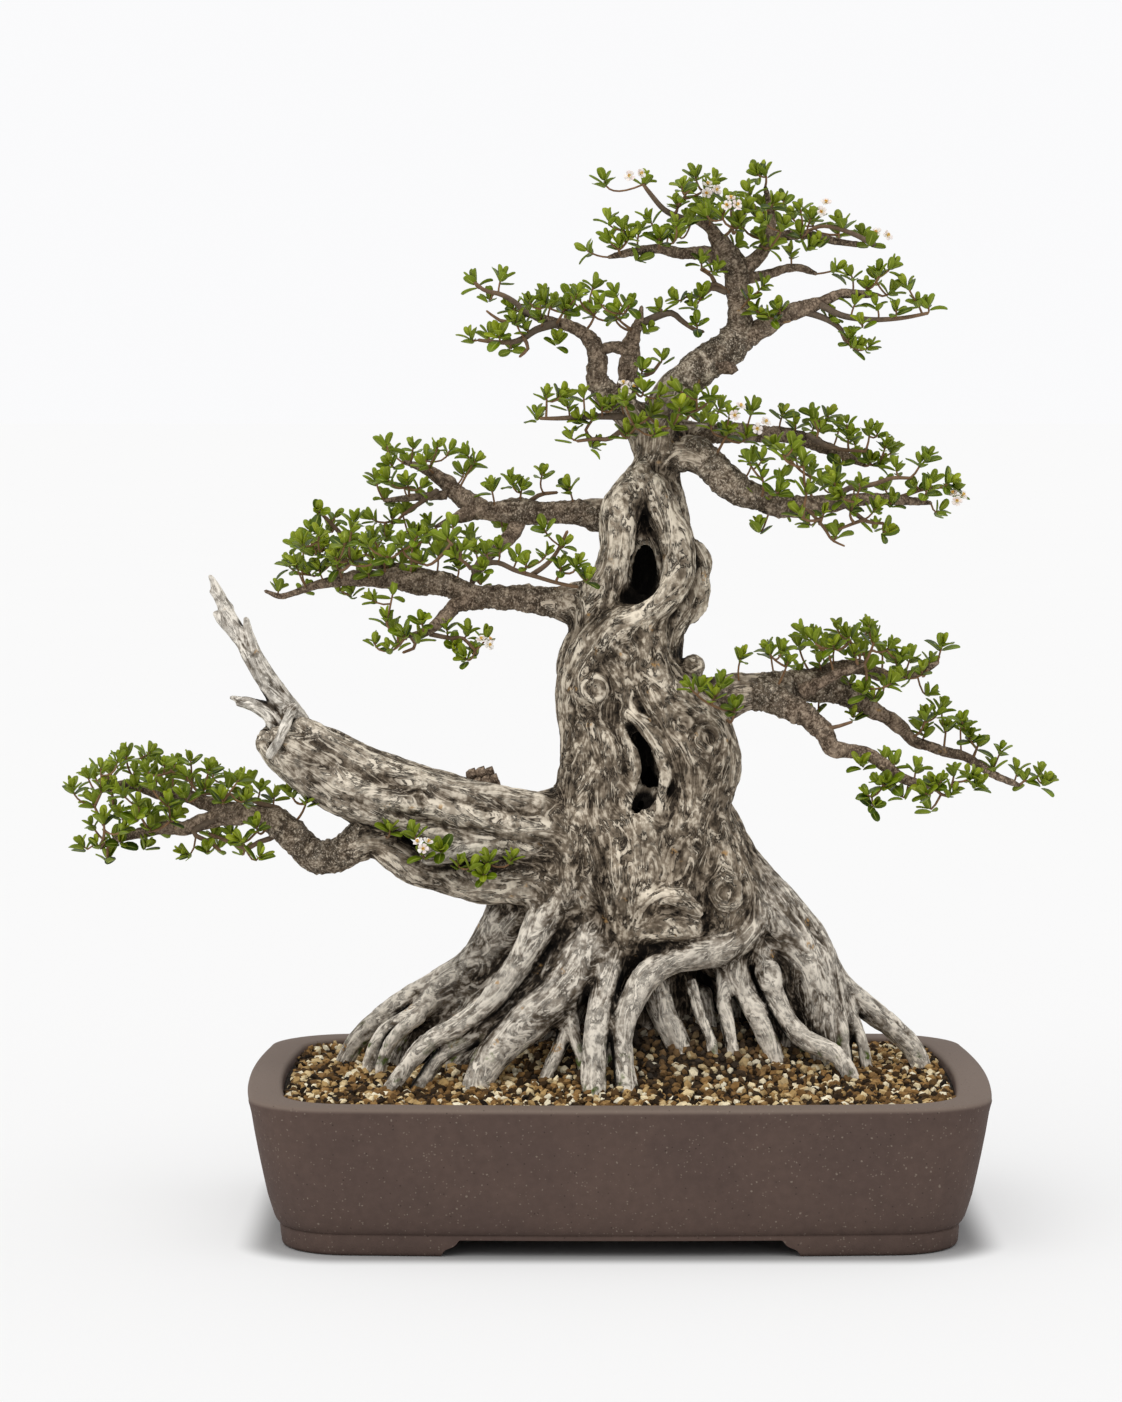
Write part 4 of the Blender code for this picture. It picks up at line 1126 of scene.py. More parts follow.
CORE = [(24, 52, 16, 20), (20, 88, 14, 24), (14, 120, 10, 28), (10, 150, 6, 30), (8, 180, 4, 29),
    (6, 205, 6, 22), (6, 235, 7, 21), (8, 262, 6, 22), (12, 290, 7, 20), (14, 318, 9, 15),
    (14, 345, 9, 10.5), (17, 366, 6, 7.8), (17, 384, 4, 7.8)]
COLUMNS = [
    [(-32, 128, 0, 13), (-28, 146, -6, 18), (-23, 166, -9, 21), (-17, 186, -12, 21),
     (-12, 204, -12, 19.5), (-10, 220, -12, 19), (-11, 234, -11, 16.5), (-13, 245, -8, 11)],
    [(-14, 236, -2, 14), (-16, 250, -2, 14), (-16, 262, -3, 14), (-15, 274, -4, 14.5), (-12, 286, -6, 12),
     (-9, 300, -8, 12), (-4, 313, -10, 9), (-1, 326, -10, 8.5), (0, 338, -9, 9), (2, 348, -7, 10),
     (7, 357, -5, 8), (12, 366, -3, 6), (15, 374, 0, 5)],
    [(-17, 232, -8, 10), (-19, 244, -9, 10), (-19, 258, -11, 10), (-15, 272, -15, 10.5),
     (-8, 283, -18, 10), (3, 291, -19, 9), (14, 298, -18, 8.5), (24, 306, -15, 8.5), (29, 318, -12, 8.5),
     (27.5, 331, -10, 8.5), (23, 343, -8, 8.5), (18, 356, -5, 8)],
    [(3, 244, -12, 10), (3, 262, -15, 12), (4, 278, -16, 11)],
    [(17, 272, -4, 12), (20, 284, -5, 10.5), (26, 294, -4, 9), (31, 306, 0, 8), (33, 320, 2, 6.5),
     (29, 340, 3, 6.2), (25.5, 354, 3, 6.2), (21, 370, 3, 7)],
    [(-10, 254, -13, 12), (-11, 262, -16, 13), (-12, 274, -13, 11)],
    [(27, 166, -14, 21), (30, 182, -12, 20), (34, 196, -10, 18), (38, 208, -9, 17.5),
     (40, 221, -10, 19.5), (37, 234, -11, 20), (29, 246, -12, 17), (20, 258, -13, 14.5),
     (14, 270, -14, 13), (12, 284, -13, 12), (14, 296, -10, 11)],
    [(30, 258, -2, 11), (36, 270, -4, 6.2)],
    [(62, 152, 0, 14), (56, 165, 0, 16), (52, 178, 3, 15), (48, 192, 4, 12), (44, 206, 4, 8),
     (48, 226, 2, 10)],
    [(8, 130, -8, 18), (12, 146, -12, 23), (12, 162, -14, 25), (10, 180, -13, 23), (12, 196, -11, 18)],
    [(54, 134, -2, 18), (48, 152, -6, 23), (44, 170, -8, 22), (40, 186, -8, 19)],
    [(15, 199, -22, 2.6), (20, 208, -23, 3.2), (23, 219, -24, 3.6), (20, 230, -25, 3.8),
     (13.5, 240, -25, 3.8), (6, 247, -24, 3.4)],
    [(7, 208, -22, 2.2), (9, 220, -24, 3), (6, 231, -24, 3), (1, 240, -22, 2.6)],
    [(39.5, 314, 0, 4.5), (41, 321, 0, 5), (38, 327, 0, 4.5)],
    [(35, 295, 1, 4), (39, 302, 1, 5), (40, 309, 1, 4.5)]]
FACE = [
    [(14, 142, -30, 7.5), (24, 142.5, -32, 8.5), (34, 142, -30, 7)],
    [(8, 154, -33, 4), (18, 158, -36, 5), (28, 157, -36, 5), (38, 151, -32, 4)],
    [(53, 152, -24, 7), (53, 159, -25, 7.5), (52, 165, -24, 7)]]
LIMB = [
    [(-6, 190, -6, 26), (-30, 189, -9, 21), (-50, 189.5, -11, 17.5), (-74, 197, -12, 17.5),
     (-100, 205, -12, 17.5), (-122, 210.5, -12, 19), (-144, 222, -12, 18), (-160, 231, -12, 14),
     (-167, 235, -12, 11)],
    [(-20, 166, -6, 24), (-45, 168, -10, 15), (-66, 167, -10, 13), (-82, 169, -10, 10.5),
     (-98, 172, -10, 9.5), (-110, 180, -9, 9), (-117, 187, -9, 9)],
    [(-40, 203, -20, 6), (-70, 208, -23, 6), (-100, 214, -25, 6), (-130, 227, -24, 6),
     (-154, 241, -19, 5)],
    [(-36, 190, -25, 6), (-70, 196, -27, 5.5), (-100, 203, -28, 6), (-130, 212, -29, 6),
     (-156, 226, -22, 5)],
    [(-40, 182, -24, 6), (-80, 187, -25, 6), (-112, 197, -26, 6), (-136, 205, -24, 6)],
    [(-30, 160, -20, 8), (-58, 160, -19, 5), (-80, 163, -17, 4)]]
STUB = [(-52, 182, -18, 5.5), (-70, 180.5, -26, 5.5), (-84, 178.5, -29, 5.2), (-93, 177, -30, 4.6)]
BURR = [(-74, 212.5, -14), (-71.5, 217, -12), (-69, 213, -17), (-67, 218, -14), (-64.5, 214, -18),
    (-63, 218, -11), (-61, 214.5, -15), (-59.5, 211, -13), (-66, 216, -9)]
COLLARS = [
    [(-116, 192, -9, 11), (-127, 184, -7, 9), (-134, 180, -5, 7), (-139, 178, -4, 5)],
    [(36, 248, 4, 14), (52, 255, 2, 10.5), (62, 257.5, 1, 8.5), (70, 257, 0, 6.5)],
    [(46, 254, 5, 11), (64, 258, 4, 8.5), (76, 260, 6, 6)],
    [(4, 298, 0, 15), (-14, 300, -2, 12), (-26, 301, -3, 9), (-38, 302, -4, 5.5)],
    [(10, 339, 8, 12), (-5, 343.5, 10, 8.6), (-18, 345, 12, 6.2), (-27, 345, 13, 4.5)],
    [(18, 372, 3, 8.6), (32, 374, 2, 8.5), (40, 371, 0, 7.6), (46, 367, -1, 5.5)],
    [(17, 386, 6, 7), (32, 385, 14, 5.4), (44, 384, 20, 4)],
    [(14, 360, 8, 9), (19, 367, 28, 6.5), (24, 373, 44, 4)],
    [(10, 296, 12, 12), (8, 299, 32, 7), (6, 302, 48, 4.5)],
    [(15, 380, 4, 8.5), (8, 390, 4, 8), (0, 398, 4, 7.4), (-6, 402, 3, 5.5)],
    [(17, 378, 3, 9.5), (20, 392, 3, 9), (27, 404, 3, 9.3), (34, 411, 3, 8.3), (41, 416, 3, 6.6)]]
ROOTS = [
    [(151, 60, 20, 4), (147, 79, 18, 5), (135, 92, 16, 5.5), (120, 104, 12, 6), (105, 118, 8, 6.5),
     (92, 140, 4, 8), (80, 150, 2, 11), (60, 165, 0, 16)],
    [(102, 58, -6, 7), (100, 86, -6, 8), (98, 105, -6, 9), (90, 128, -6, 9), (70, 150, -6, 13)],
    [(118, 60, -28, 4), (108, 78, -26, 4.5), (90, 88, -22, 5), (78, 105, -18, 5), (70, 128, -14, 6),
     (60, 140, -10, 9)],
    [(84, 60, -26, 4), (70, 95, -22, 5), (62, 110, -18, 5.5), (55, 125, -14, 8)],
    [(6, 57, -64, 5), (3, 72, -55, 5.2), (2, 90, -46, 5.6), (7, 106, -39, 6.4), (14, 118, -36, 6.9),
     (25, 126, -32, 7.2), (38, 130, -27, 8.4), (50, 134, -20, 10.5), (62, 142, -14, 11),
     (64, 154, -6, 13)],
    [(104, 58, 6, 11), (102, 88, 6, 13), (97, 112, 5, 14), (88, 134, 3, 14), (74, 153, 0, 13)],
    [(84, 58, 8, 12), (82, 90, 6, 14), (77, 118, 4, 15), (70, 140, 2, 15)],
    [(-112, 62, 34, 8), (-98, 84, 32, 10), (-82, 102, 28, 12), (-60, 122, 22, 14), (-38, 144, 14, 15),
     (-20, 168, 4, 14)],
    [(-86, 58, 24, 12), (-72, 82, 22, 15), (-54, 106, 18, 18), (-34, 132, 14, 20)],
    [(54, 56, 32, 13), (52, 92, 27, 18), (46, 124, 20, 20), (36, 154, 10, 18), (26, 184, 2, 13)],
    [(-36, 56, 36, 11), (-30, 90, 28, 16), (-18, 124, 20, 18), (-8, 154, 10, 17), (0, 184, 2, 14)],
    [(60, 60, -30, 3), (55, 88, -26, 3.2), (52, 105, -22, 3.4), (54, 124, -16, 5)],
    [(36, 58, -30, 5), (28, 88, -26, 6), (22, 100, -22, 6.5), (15, 125, -14, 9)],
    [(-6, 58, -36, 4.5), (-7, 90, -32, 5), (-6, 105, -28, 6), (-5, 125, -20, 9)],
    [(-12, 56, -67, 5.2), (-12, 68, -60, 6), (-11, 86, -50, 5.8), (-9, 101, -41, 6), (-6, 113, -32, 7),
     (-3, 128, -20, 9)],
    [(-112, 62, -46, 4), (-95, 84, -42, 4.5), (-80, 92, -38, 5), (-65, 103, -34, 5.5), (-55, 115, -30, 6),
     (-45, 130, -26, 7), (-35, 148, -22, 9), (-15, 170, -18, 11)],
    [(-100, 60, -40, 4), (-88, 77, -38, 4), (-75, 85, -34, 4.5), (-60, 94, -30, 5), (-48, 105, -26, 6),
     (-35, 118, -22, 8), (-15, 140, -16, 11)],
    [(-142, 60, 42, 4), (-130, 84, 38, 5), (-118, 96, 34, 5.5), (-105, 105, 30, 6), (-88, 115, 24, 6.5),
     (-72, 124, 18, 8.5), (-58, 138, 12, 12), (-46, 150, 8, 18)],
    [(-126, 60, 14, 4), (-116, 88, 16, 4), (-100, 99, 18, 4.5), (-80, 118, 20, 6)],
    [(-74, 56, -46, 6), (-64, 75, -42, 8), (-54, 86, -38, 9), (-42, 97, -34, 10), (-28, 110, -28, 12),
     (-15, 130, -18, 15)],
    [(-44, 58, 54, 5), (-34, 84, 46, 7), (-20, 105, 34, 10), (0, 135, 18, 18)],
    [(72, 58, 56, 5), (62, 84, 48, 6.5), (52, 105, 36, 9), (40, 135, 20, 16)],
    [(10, 56, 56, 5), (12, 76, 50, 6), (14, 96, 40, 9), (18, 120, 22, 14)]]
ROOTLETS = [
    [(48, 62, -34, 2.4), (46, 84, -30, 2.4), (40, 100, -26, 2.8), (36, 114, -20, 3)],
    [(112, 70, -10, 3), (110, 90, -6, 3.6), (106, 104, -2, 4)],
    [(124, 66, -2, 2.6), (119, 88, 2, 3), (112, 104, 6, 3.4)],
    [(-14, 60, -44, 2.4), (-20, 84, -38, 2.8), (-24, 100, -32, 3.4)],
    [(-38, 62, -42, 3), (-30, 80, -36, 3.4), (-24, 96, -30, 4)],
    [(-118, 66, 2, 2.4), (-112, 85, 6, 2.8), (-98, 98, 12, 3.4)],
    [(14, 60, -22, 4), (16, 84, -16, 5), (22, 104, -10, 6)],
    [(46, 62, -12, 4), (44, 88, -8, 5), (40, 108, -4, 6)]]
HOLLOWS = [
    [(12, 338, -22, 3), (13.5, 329, -20, 6.2), (13, 319, -20, 9.2), (10.5, 310, -20, 8.4),
     (3, 303, -22, 4.6)],
    [(12, 337, -11, 3), (13.5, 328, -9, 6.2), (13, 318, -9, 9), (11, 309, -9, 8.2), (5, 304, -13, 4)],
    [(13, 330, 3, 4.5), (13, 318, 3, 7), (12, 310, 3, 6)],
    [(13, 377, -13, 1.4), (12.5, 366, -15, 1.8), (13, 357, -17, 1.6), (12, 347, -18, 1.4),
     (12, 338, -19, 1.8)],
    [(6, 240, -24, 1.6), (11.5, 232, -24, 2.6), (15, 221, -23, 3.4), (14.6, 211, -22, 5),
     (10, 200, -23, 4.4), (5, 194, -26, 2.2)],
    [(8, 240, -14, 2.4), (12.5, 231, -12, 3.8), (15.5, 220, -10, 4.8), (14.5, 210, -10, 5.6),
     (9.5, 199, -13, 4.6), (5, 193, -22, 2.5)],
    [(13, 228, 0, 3.6), (15, 216, 0, 4.4), (12, 204, -2, 4)],
    [(-176, 241, -13, 6), (-164, 237, -13, 6.5), (-152, 231, -13, 4)],
    [(-171, 244, -20, 1.6), (-152, 237, -27, 1.6), (-137, 230, -31, 1.1)],
    [(-170, 232, -21, 1.2), (-155, 225, -29, 1.2), (-143, 220, -31, 0.8)],
    [(4, 276, -31, 0.6), (3, 266, -30, 0.9), (4, 256, -28, 1.1), (3, 251, -26, 1.6), (-6, 249, -26, 1.4),
     (-15, 250.5, -23, 0.8)],
    [(7, 150, -38, 1.2), (18, 151, -41, 1.7), (29, 150.5, -41, 1.6), (38, 147, -37, 1.1)],
    [(10, 134, -37, 1.2), (22, 132, -38, 1.4), (34, 133.5, -36, 1.2)]]
KNOTS = [Knot(4, 280, 5.5, 1.4, 3.5), Knot(-12, 261, 6.5, 1.2, 1.0), Knot(44, 236, 6.5, 1.2, 1.0),
    Knot(32, 244, 4.5, 0.7, 0.6), Knot(-25, 226, 4.5, 1.0, 0.8), Knot(53, 159, 8, 1.0, 0.6),
    Knot(73, 120, 7, 1.4, 0.3), Knot(38, 271, 4.5, 0.8, 0.8), Knot(-96, 205, 5, 0.5, 0.4),
    Knot(14, 366, 4, 0.8, 0.6), Knot(40, 183, 3.6, 0.5, 3.0)]
DEADWOOD = [
    [(-156, 238, -12, 8), (-162, 249, -12, 6.4), (-167, 257, -12, 5.4), (-175, 269, -11, 5),
     (-184, 284, -10, 4), (-191, 297, -9, 3.3), (-196, 308, -8, 2.3), (-199, 314, -8, 1.3)],
    [(-170, 262, -12, 4), (-176, 273, -12, 3.2), (-180, 284, -12.5, 2.6), (-181.5, 293, -13, 1.5)],
    [(-186, 285, -10, 3), (-193, 292, -9, 2.2), (-196.5, 296, -9, 1.2)],
    [(-190, 299, -9, 2), (-196, 305, -10, 1.6), (-198.5, 307, -10, 1)],
    [(-162, 236, -13, 6), (-167, 243, -14, 4.6), (-173, 249, -14, 3.6), (-181, 253, -15, 2.5),
     (-189, 255, -15, 1.3)],
    [(-174, 249, -14, 2.6), (-180, 251, -15, 2), (-186, 251.5, -15, 1)],
    [(-159, 250, -19, 2.6), (-162, 243, -25, 2.4), (-166, 234, -26, 2.3), (-170, 227, -21, 2.2)]]
SPLITS = [
    [(-164, 256, -19, 0.8), (-172, 268, -17, 1.0), (-181, 282, -15.5, 1.0), (-189, 296, -13, 0.8)],
    [(-160, 253, -18, 0.7), (-167, 264, -17, 0.9), (-174, 276, -16, 0.9), (-179, 288, -16, 0.9)],
    [(-166, 246, -20, 0.8), (-173, 251, -18.5, 0.8), (-184, 254.5, -18, 0.6)]]

LOWER_BRANCHES = [
    [(-116, 196, -9, 9), (-127, 184, -7, 8.8), (-136, 178, -4, 8), (-146, 177, -2, 8),
     (-153, 181, 0, 7.5), (-160, 188, 2, 7.5), (-167, 194, 3, 7), (-178, 198, 4, 5), (-190, 197, 6, 4.6),
     (-200, 195, 7, 4.2), (-211, 191, 8, 3.6), (-222, 191, 8, 3.1), (-236, 188, 8, 2.5),
     (-250, 184, 9, 1.6)],
    [(-186, 198, 5, 4.4), (-200, 203, 11, 3.8), (-212, 207, 16, 3.4), (-224, 208, 20, 3),
     (-240, 212, 22, 2.4), (-256, 209, 22, 1.5)],
    [(40, 250, 3, 9.5), (56, 256, 2, 8.5), (70, 257, 0, 8.2), (81, 252, -4, 6.5), (92, 246, -8, 5),
     (100, 239, -10, 4.6), (104, 231, -12, 4.2), (112, 229, -12, 3.6), (122, 227, -14, 3.3),
     (130, 222, -15, 3), (140, 215, -16, 2.6), (154, 211, -16, 2)],
    [(60, 257, 4, 8), (72, 259, 6, 8), (85, 261, 8, 7.5), (100, 260, 12, 7), (112, 256, 14, 6),
     (122, 250, 16, 4.4), (130, 246, 18, 3.5), (138, 240, 20, 3.3), (144, 234, 20, 2.9),
     (154, 230, 22, 2.6), (170, 226, 24, 2.3), (182, 218, 26, 2), (196, 212, 28, 1.4)],
    [(90, 263, 12, 5.5), (104, 268, 18, 4.2), (118, 270, 22, 3.6), (132, 265, 24, 2.8), (146, 267, 20, 2),
     (156, 272, 16, 1.4)],
    [(90, 258, 0, 4), (98, 262, -4, 3), (108, 267, -6, 2.4), (120, 271, -6, 1.8)]]
MIDDLE_BRANCHES = [
    [(-16, 300, -2, 9.5), (-26, 301, -3, 8.6), (-36, 301.5, -3, 7), (-45, 303, -4, 6.2),
     (-60, 304, -4, 5.4), (-72, 305, -3, 5.6), (-85, 310, 0, 5.7), (-100, 311, 2, 5.3),
     (-115, 313, 4, 4.5), (-130, 313, 4, 3.4), (-144, 311, 5, 2.4), (-156, 307, 5, 1.7),
     (-165, 304.5, 5, 1.4), (-172, 307, 5, 0.9)],
    [(-66, 303, -3, 4.6), (-79, 300, -8, 3.8), (-85, 294, -12, 3.2), (-94, 287, -16, 2.2),
     (-104, 285, -16, 1.4)],
    [(-84, 311, 4, 4), (-98, 316, 12, 3), (-114, 319, 20, 2.4), (-130, 321, 26, 1.8)],
    [(-6, 343.5, 10, 8), (-20, 345.5, 12, 6.2), (-35, 344.5, 14, 5.5), (-48, 346, 16, 6.6),
     (-60, 346, 18, 4.8), (-70, 346, 20, 4.4), (-78, 343, 18, 3.2), (-89, 338.5, 18, 2.0)],
    [(-66, 346, 20, 4.8), (-78, 354, 22, 4.5), (-85, 361, 24, 3.8), (-93, 366, 26, 2.6),
     (-104, 370, 27, 1.5)],
    [(-84, 354, 22, 2.6), (-95, 353, 21, 2), (-106, 352, 20, 1.5), (-114, 351, 20, 1)],
    [(-48, 343, 16, 4.2), (-52, 335, 14, 3.6), (-60, 328, 12, 3.2), (-67, 320, 8, 2.8),
     (-72, 309, 2, 2.8)],
    [(28, 373, 2, 8), (36, 374, 2, 8.2), (43, 370, 0, 8), (50, 363, -2, 8), (58, 357, -4, 7.5),
     (68, 353, -5, 6.5), (78, 349, -6, 6), (90, 348, -6, 4.8), (105, 350, -4, 3.8), (120, 352, -2, 3),
     (138, 351, 0, 2.3), (152, 350, 1, 1.5)],
    [(26, 385, 10, 5.6), (38, 384, 18, 5.2), (62, 384, 26, 4.4), (82, 383, 30, 3.8), (98, 378, 30, 3.4),
     (110, 373, 30, 2.5), (120, 368, 30, 1.6)],
    [(18, 364, 22, 6.6), (21, 369, 36, 5.8), (27, 376, 52, 4.4), (30, 383, 72, 2.8)],
    [(9, 298, 24, 8), (8, 299, 36, 6.5), (6, 303, 54, 4.6), (6, 309, 70, 2.8)]]
UPPER_BRANCHES = [
    [(6, 392, 4, 7), (0, 398, 4, 7.6), (-6, 403, 2, 6.6), (-10.5, 410, 2, 5.2), (-10.5, 420, 2, 4.7),
     (-13, 428, 2, 4.2), (-20, 434, 3, 3), (-36, 439, 6, 2.4), (-46, 443, 6, 1.8)],
    [(0, 397, 4, 6.6), (4, 408, 4, 4.9), (5, 420, 4, 4.6), (7, 430, 4, 4.3), (10, 438, 4, 3.4),
     (11, 445, 4, 2.4)],
    [(-10, 423, 2, 2.8), (-4, 425.5, 2, 2.8), (1, 425, 3, 2.8), (5, 422, 4, 2.8)],
    [(26, 403, 3, 8.4), (31, 408.5, 3, 8.6), (38, 414, 3, 8.8), (46, 420, 3, 8.8), (55, 427, 3, 8.2),
     (58.5, 437, 3, 6.6), (57.5, 447, 3, 5.4), (57.5, 456, 3, 5.6), (56, 465, 3, 6.2), (49, 476, 3, 4.4),
     (44, 484, 3, 2.8), (32, 489, 3, 1.8)],
    [(54, 465, 3, 4.6), (42, 471, 2, 3.4), (30, 471, 0, 2.8), (18, 473, 0, 2.4), (4, 471, 0, 1.9),
     (-5, 469, 0, 1.2)],
    [(58, 461, 4, 4.5), (68, 470, 5, 3.4), (75, 478, 7, 2.9), (90, 480, 9, 2.4), (104, 477, 10, 1.8),
     (118, 475, 11, 1.2)],
    [(57, 427, 3, 6.5), (70, 435, 2, 4.8), (80, 441, 0, 4.4), (90, 444, 0, 3.7), (98, 447, 0, 2.9),
     (108, 451, 0, 2.4), (126, 451, 0, 1.6)],
    [(46, 418, 0, 5), (52, 416, -2, 3.8), (56, 415, -3, 2.8)],
    [(71, 474, 5, 2.6), (74, 484, 6, 2.2), (73, 494, 7, 1.7), (71, 503, 8, 1.2)],
    [(60, 458, 4, 3), (72, 461, 6, 2.4), (86, 464, 8, 1.9), (96, 461, 8, 1.4)]]


@dataclass
class Tree:
    """The wood: one old trunk with its limb and roots, its deadwood, and three storeys of
    branches."""

    soil: "GravelSoil"
    bark_pitch: float = 1.6
    deadwood_pitch: float = 0.8
    branch_pitch: float = 1.1
    branch_sides: tuple[int, int] = (10, 40)
    burr_swell: tuple[tuple[float, float, float], ...] = ((0, -2, 2.2), (0, 0, 3), (0.6, 1.6, 2))
    tip_radius: float = 0.9
    tip_taper: float = 0.17
    tapered_from: float = 20.0
    soil_level: float = 78.0
    moss_level: float = 98.0

    def old_wood(self) -> Shape:
        """The trunk, limb, roots and the swellings that the branches grow from.

        Returns:
            The surface.
        """
        strands = [Strand(CORE), Strand(STUB, Tone.WORN.value)]
        strands += [Strand(stations) for stations in COLUMNS + FACE]
        strands += [Strand(stations, Tone.LIMB.value) for stations in LIMB]
        strands += [Strand(stations, Tone.COLLAR.value) for stations in COLLARS]
        strands += [Strand(stations, Tone.WORN.value) for stations in ROOTS + ROOTLETS]
        hollows = [Strand(stations) for stations in HOLLOWS]
        return self.with_moss(Wood(strands, hollows, KNOTS, self.bark_pitch, soil=self.soil).shape())

    def deadwood(self) -> Shape:
        """The bleached stumps at the limb's broken end, split along their fibres."""
        wood = Wood([Strand(stations, Tone.BARE.value) for stations in DEADWOOD],
                    [Strand(stations) for stations in SPLITS], pitch=self.deadwood_pitch,
                    softness=0.7, relief=0.9, seed=31)
        return self.with_moss(wood.shape())

    def with_moss(self, shape: Shape) -> Shape:
        """Mark the wood that stands low enough to be mossy."""
        shape.marks["moss"] = 1 - blend(shape.points[:, 2], self.soil_level, self.moss_level)
        return shape

    def branch(self, stations: list[Station], lattice: Lattice) -> Shape:
        """One branch: a round section whose radius has long ridges, knobs and rough bark.

        Args:
            stations: its route.
            lattice: the noise that shapes its bark.

        Returns:
            The closed tube.
        """
        path = smooth_path(stations, self.branch_pitch)
        path[:, :3] += lattice.vector(path[:, :3], 9.0) * np.minimum(path[:, 3:4] * 0.16, 0.7)
        left = (len(path) - 1 - np.arange(len(path))) * self.branch_pitch
        if left[0] > self.tapered_from:
            path[:, 3] = np.minimum(path[:, 3], self.tip_radius + self.tip_taper * left)
        widest = path[:, 3].max()
        sides = int(np.clip(FULL_TURN * widest / self.branch_pitch, *self.branch_sides))
        plain = carry_profile(path, sides)
        body = plain.marks["grain"][:-2] * GRAIN_UNIT + 40 * path[0, 0]
        ridges = np.abs(lattice.at(body, 2.6)) * 2.4 - 0.8
        crumbs = lattice.at(plain.points[:-2], 2.3)
        knobs = np.maximum(lattice.at(plain.points[:-2], 6.5) - 0.25, 0) * 2.2
        rings = np.maximum(np.abs(lattice.at(body * [0.3, 0.3, 0.6], 3.0)) - 0.3, 0)
        height = np.clip(0.8 * ridges + 0.5 * crumbs, -1.4, 1.3)
        scale = np.minimum(0.1 * np.repeat(path[:, 3], sides), 0.62)
        swell = scale * (height + 1.3 * knobs + 1.6 * rings)
        shape = carry_profile(path, sides, swell.reshape(len(path), sides))
        tone = np.interp(path[:, 3], [1.5, 4.0, 8.0], [0.04, 0.16, 0.34])
        ends = [0.0, 0.0]
        shape.marks["height"] = np.concatenate([height, ends])
        shape.marks["hollow"] = np.zeros(len(shape.points))
        # Painted highlight on the raised rings and knobs.
        shape.marks["painted_light_and_shade"] = np.concatenate([0.2 + 0.8 * rings + 0.3 * knobs, ends])
        shape.marks["bleach"] = np.concatenate([np.repeat(tone, sides), [tone[0], tone[-1]]])
        return self.with_moss(shape)

    def build(self) -> None:
        """Make every piece of wood."""
        bark = BarkFinish().material()
        make_piece("old_wood", self.old_wood(), bark, ("tree_wood",))
        make_piece("deadwood", self.deadwood(), bark)
        lattice = Lattice(17)
        burr = [[(x + aside, z + above, depth, radius) for aside, above, radius in self.burr_swell]
                for x, z, depth in BURR]
        storeys = {"lower": LOWER_BRANCHES + burr, "middle": MIDDLE_BRANCHES, "upper": UPPER_BRANCHES}
        for storey, routes in storeys.items():
            grown = join([self.branch(stations, lattice) for stations in routes])
            make_piece(f"{storey}_branches", grown, bark)

    def skeleton(self) -> Array:
        """The middle lines that twigs may grow from, as rows of (x, y, z, radius)."""
        routes = LOWER_BRANCHES + MIDDLE_BRANCHES + UPPER_BRANCHES + COLLARS + [CORE[-4:], STUB, LIMB[1]]
        return np.concatenate([smooth_path(stations, 3.0) for stations in routes])


# ---------------------------------------------------------------- leaves, shoots and flowers


@dataclass
class Blade:
    """A leaf or a petal: a closed lens, egg-shaped and widest beyond its middle."""

    stations: tuple[float, ...] = (0.0, 0.12, 0.34, 0.58, 0.8, 0.94, 1.0)
    thickness: float = 0.26
    start_power: float = 0.56
    end_power: float = 1.65
    fold: float = 0.3

    def shape(self, base: Array, ahead: Array, face: Array, length: Array, width: Array, curl: Array,
              marks: dict[str, Array]) -> Shape:
        """Many blades at once.

        At the part t of the length, the midline has turned back by curl * t, so it has gone
        sin(curl t) / curl ahead and (1 - cos(curl t)) / curl back; the half width is as
        t^start (1 - t^end)^0.5, and the edges stand above the midline by fold times that.

        Args:
            base: where each blade starts, a row for each, in mm.
            ahead: the direction it grows in.
            face: the direction its upper side faces.
            length: how long it is.
            width: how wide it is.
            curl: the angle its tip turns back by.
            marks: one value for each blade, by mark.

        Returns:
            All the blades, with the marks given, the UV map (across, along) and the mark under.
        """
        part = np.array(self.stations)
        swell = part ** self.start_power * np.sqrt(1 - part ** self.end_power)
        swell = swell / swell.max() / 2
        bend = curl[:, None] * part[None]
        steady = np.where(np.abs(curl) < 1e-3, 1e-3, curl)[:, None]
        out = length[:, None] * np.sin(bend) / steady
        back = length[:, None] * (1 - np.cos(bend)) / steady
        middle = base[:, None] + out[..., None] * ahead[:, None] - back[..., None] * face[:, None]
        above = np.cos(bend)[..., None] * face[:, None] + np.sin(bend)[..., None] * ahead[:, None]
        side = np.cross(ahead, face)[:, None]
        across = np.array([-1, 0, 1, 1, 0, -1.0])
        under = np.array([0, 0, 0, 1, 1.6, 1.0])
        half = (width[:, None] * swell[None])[:, 1:-1, None, None]
        ring = (middle[:, 1:-1, None] + half * across[:, None] * side[:, :, None]
                + (half * self.fold * np.abs(across)[:, None] - self.thickness * under[:, None])
                * above[:, 1:-1, None])
        count, rings, sides = len(base), len(part) - 2, len(across)
        points = np.concatenate([ring.reshape(count, -1, 3), middle[:, :1], middle[:, -1:]], axis=1)
        quads, caps = tube_faces(rings, sides)
        starts = (np.arange(count) * points.shape[1])[:, None, None]
        uv = np.stack([np.tile(across * 0.5 + 0.5, rings), np.repeat(part[1:-1], sides)], axis=1)
        uv = np.concatenate([uv, [[0.5, 0.0], [0.5, 1.0]]])
        low_side = np.concatenate([np.tile(under > 0, rings), [0.5, 0.5]])
        carried = {key: np.repeat(values, points.shape[1]) for key, values in marks.items()}
        carried |= {"uv": np.tile(uv, (count, 1)), "under": np.tile(low_side, count)}
        return Shape(points.reshape(-1, 3), (quads + starts).reshape(-1, 4),
                     (caps + starts).reshape(-1, 3), carried)


